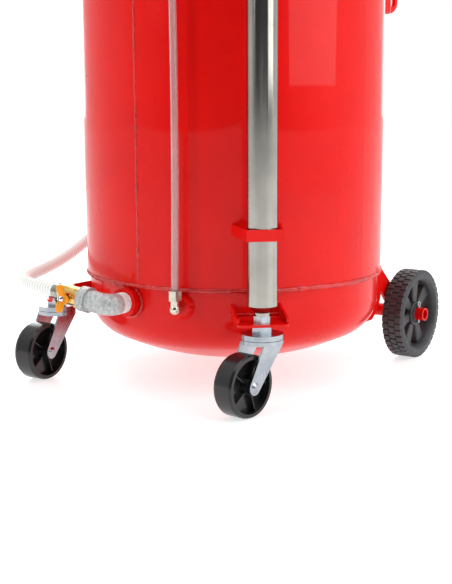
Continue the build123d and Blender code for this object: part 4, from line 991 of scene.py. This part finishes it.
# ---------------------------------------------------------------- studio
@dataclass
class Studio:
    """Floor, lights, surroundings and camera."""

    eye: Colour = (0.87653, -1.23853, 0.36313)
    ahead: Colour = (-0.57526, 0.80012, -0.16995)
    right: Colour = (0.81244, 0.58302, -0.00515)
    lens: float = 68.525
    lamps: tuple[tuple[str, Colour, Colour, tuple[float, float], float], ...] = (
        ("left_softbox", (-2.2, 1.5, 1.5), (0, 0, 0.4), (1.0, 2.6), 24.0),
        ("back_softbox", (-0.7, 2.7, 1.5), (0, 0, 0.4), (1.0, 2.6), 14.0),
        ("right_softbox", (2.6, 0.2, 1.6), (0, 0, 0.4), (2.2, 2.6), 46.0),
        ("top_softbox", (0.2, -0.5, 3.0), (0, 0, 0), (3.0, 3.0), 40.0),
        ("front_softbox", (-1.0, -2.8, 1.7), (0, 0, 0.3), (0.4, 1.8), 20.0))

    def camera(self) -> None:
        """Set the camera."""
        data = bpy.data.cameras.new("camera")
        data.lens, data.sensor_width, data.clip_start = self.lens, 36.0, 0.01
        camera = bpy.data.objects.new("camera", data)
        bpy.context.scene.collection.objects.link(camera)
        ahead, right = Vector(self.ahead).normalized(), Vector(self.right).normalized()
        up = right.cross(ahead).normalized()
        turn = Matrix((right, up, -ahead)).transposed().to_4x4()
        camera.matrix_world = Matrix.Translation(Vector(self.eye)) @ turn
        bpy.context.scene.camera = camera

    def lamp(self, name: str, place: Colour, aim: Colour, size: tuple[float, float], power: float) -> None:
        """Hang one soft light.

        Args:
            name: the light's name.
            place: where it hangs.
            aim: what it points at.
            size: its width and height in metres.
            power: its power in watts.
        """
        data = bpy.data.lights.new(name, "AREA")
        data.shape, data.size, data.size_y, data.energy = "RECTANGLE", size[0], size[1], power
        lamp = bpy.data.objects.new(name, data)
        bpy.context.scene.collection.objects.link(lamp)
        lamp.location = place
        lamp.rotation_euler = (Vector(aim) - Vector(place)).to_track_quat("-Z", "Y").to_euler()

    def surroundings(self) -> None:
        """White studio that darkens behind the viewer, so that metal and gloss have a shape."""
        world = bpy.data.worlds.new("studio")
        bpy.context.scene.world = world
        world.use_nodes = True
        tree = world.node_tree
        tree.nodes.clear()
        place = tree.nodes.new("ShaderNodeTexCoord")
        dot = tree.nodes.new("ShaderNodeVectorMath")
        dot.operation = "DOT_PRODUCT"
        dot.inputs[1].default_value = (0.575, -0.80, 0.17)
        ramp = tree.nodes.new("ShaderNodeValToRGB")
        ramp.color_ramp.elements[0].position, ramp.color_ramp.elements[1].position = 0.02, 0.62
        ramp.color_ramp.elements[0].color = (1.0, 1.0, 1.0, 1)
        ramp.color_ramp.elements[1].color = (0.07, 0.07, 0.075, 1)
        around, seen, mix = (tree.nodes.new(k) for k in (
            "ShaderNodeBackground", "ShaderNodeBackground", "ShaderNodeMixShader"))
        around.inputs["Strength"].default_value = 0.85
        seen.inputs["Color"].default_value = (1, 1, 1, 1)
        seen.inputs["Strength"].default_value = 1.0
        rays, out = tree.nodes.new("ShaderNodeLightPath"), tree.nodes.new("ShaderNodeOutputWorld")
        tree.links.new(place.outputs["Generated"], dot.inputs[0])
        tree.links.new(dot.outputs["Value"], ramp.inputs["Fac"])
        tree.links.new(ramp.outputs["Color"], around.inputs["Color"])
        tree.links.new(rays.outputs["Is Camera Ray"], mix.inputs["Fac"])
        tree.links.new(around.outputs[0], mix.inputs[1])
        tree.links.new(seen.outputs[0], mix.inputs[2])
        tree.links.new(mix.outputs[0], out.inputs["Surface"])

    def floor(self) -> None:
        """Lay the plain pale floor."""
        mesh = bmesh.new()
        bmesh.ops.create_grid(mesh, x_segments=2, y_segments=2, size=12.0)
        data = bpy.data.meshes.new("floor")
        mesh.to_mesh(data)
        mesh.free()
        floor = bpy.data.objects.new("floor", data)
        bpy.context.scene.collection.objects.link(floor)
        board = NodeBoard("Pale_studio_floor")
        board.link(board.ramp(board.grain(0.7, 2), (0.52, 0.52, 0.52), (0.55, 0.55, 0.55)),
                   board.shader.inputs["Base Color"])
        board.shader.inputs["Roughness"].default_value = 0.4
        board.shader.inputs["Specular IOR Level"].default_value = 0.12
        board.shader.inputs["Emission Color"].default_value = (1.0, 1.0, 1.0, 1.0)
        board.shader.inputs["Emission Strength"].default_value = 0.66
        data.materials.append(board.material)

    def build(self) -> None:
        """Set up the studio."""
        bpy.context.scene.view_settings.view_transform = "Standard"
        self.camera()
        self.surroundings()
        self.floor()
        for lamp in self.lamps:
            self.lamp(*lamp)


def main() -> None:
    """Build everything in order."""
    logging.basicConfig(level=logging.INFO, format="%(name)s: %(message)s")
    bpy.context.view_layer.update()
    Studio().build()
    SHOP.dress_frame()
    DischargeHose().build()
    ThreadTape().build()
    WingHandle().build()
    TankWelds().build()
    for side in Side:
        RearWheel(side).build()
        CasterRibs(side).build()
    PushGrip().build()
    GaugeScale().build()


if __name__ == "__main__":
    main()
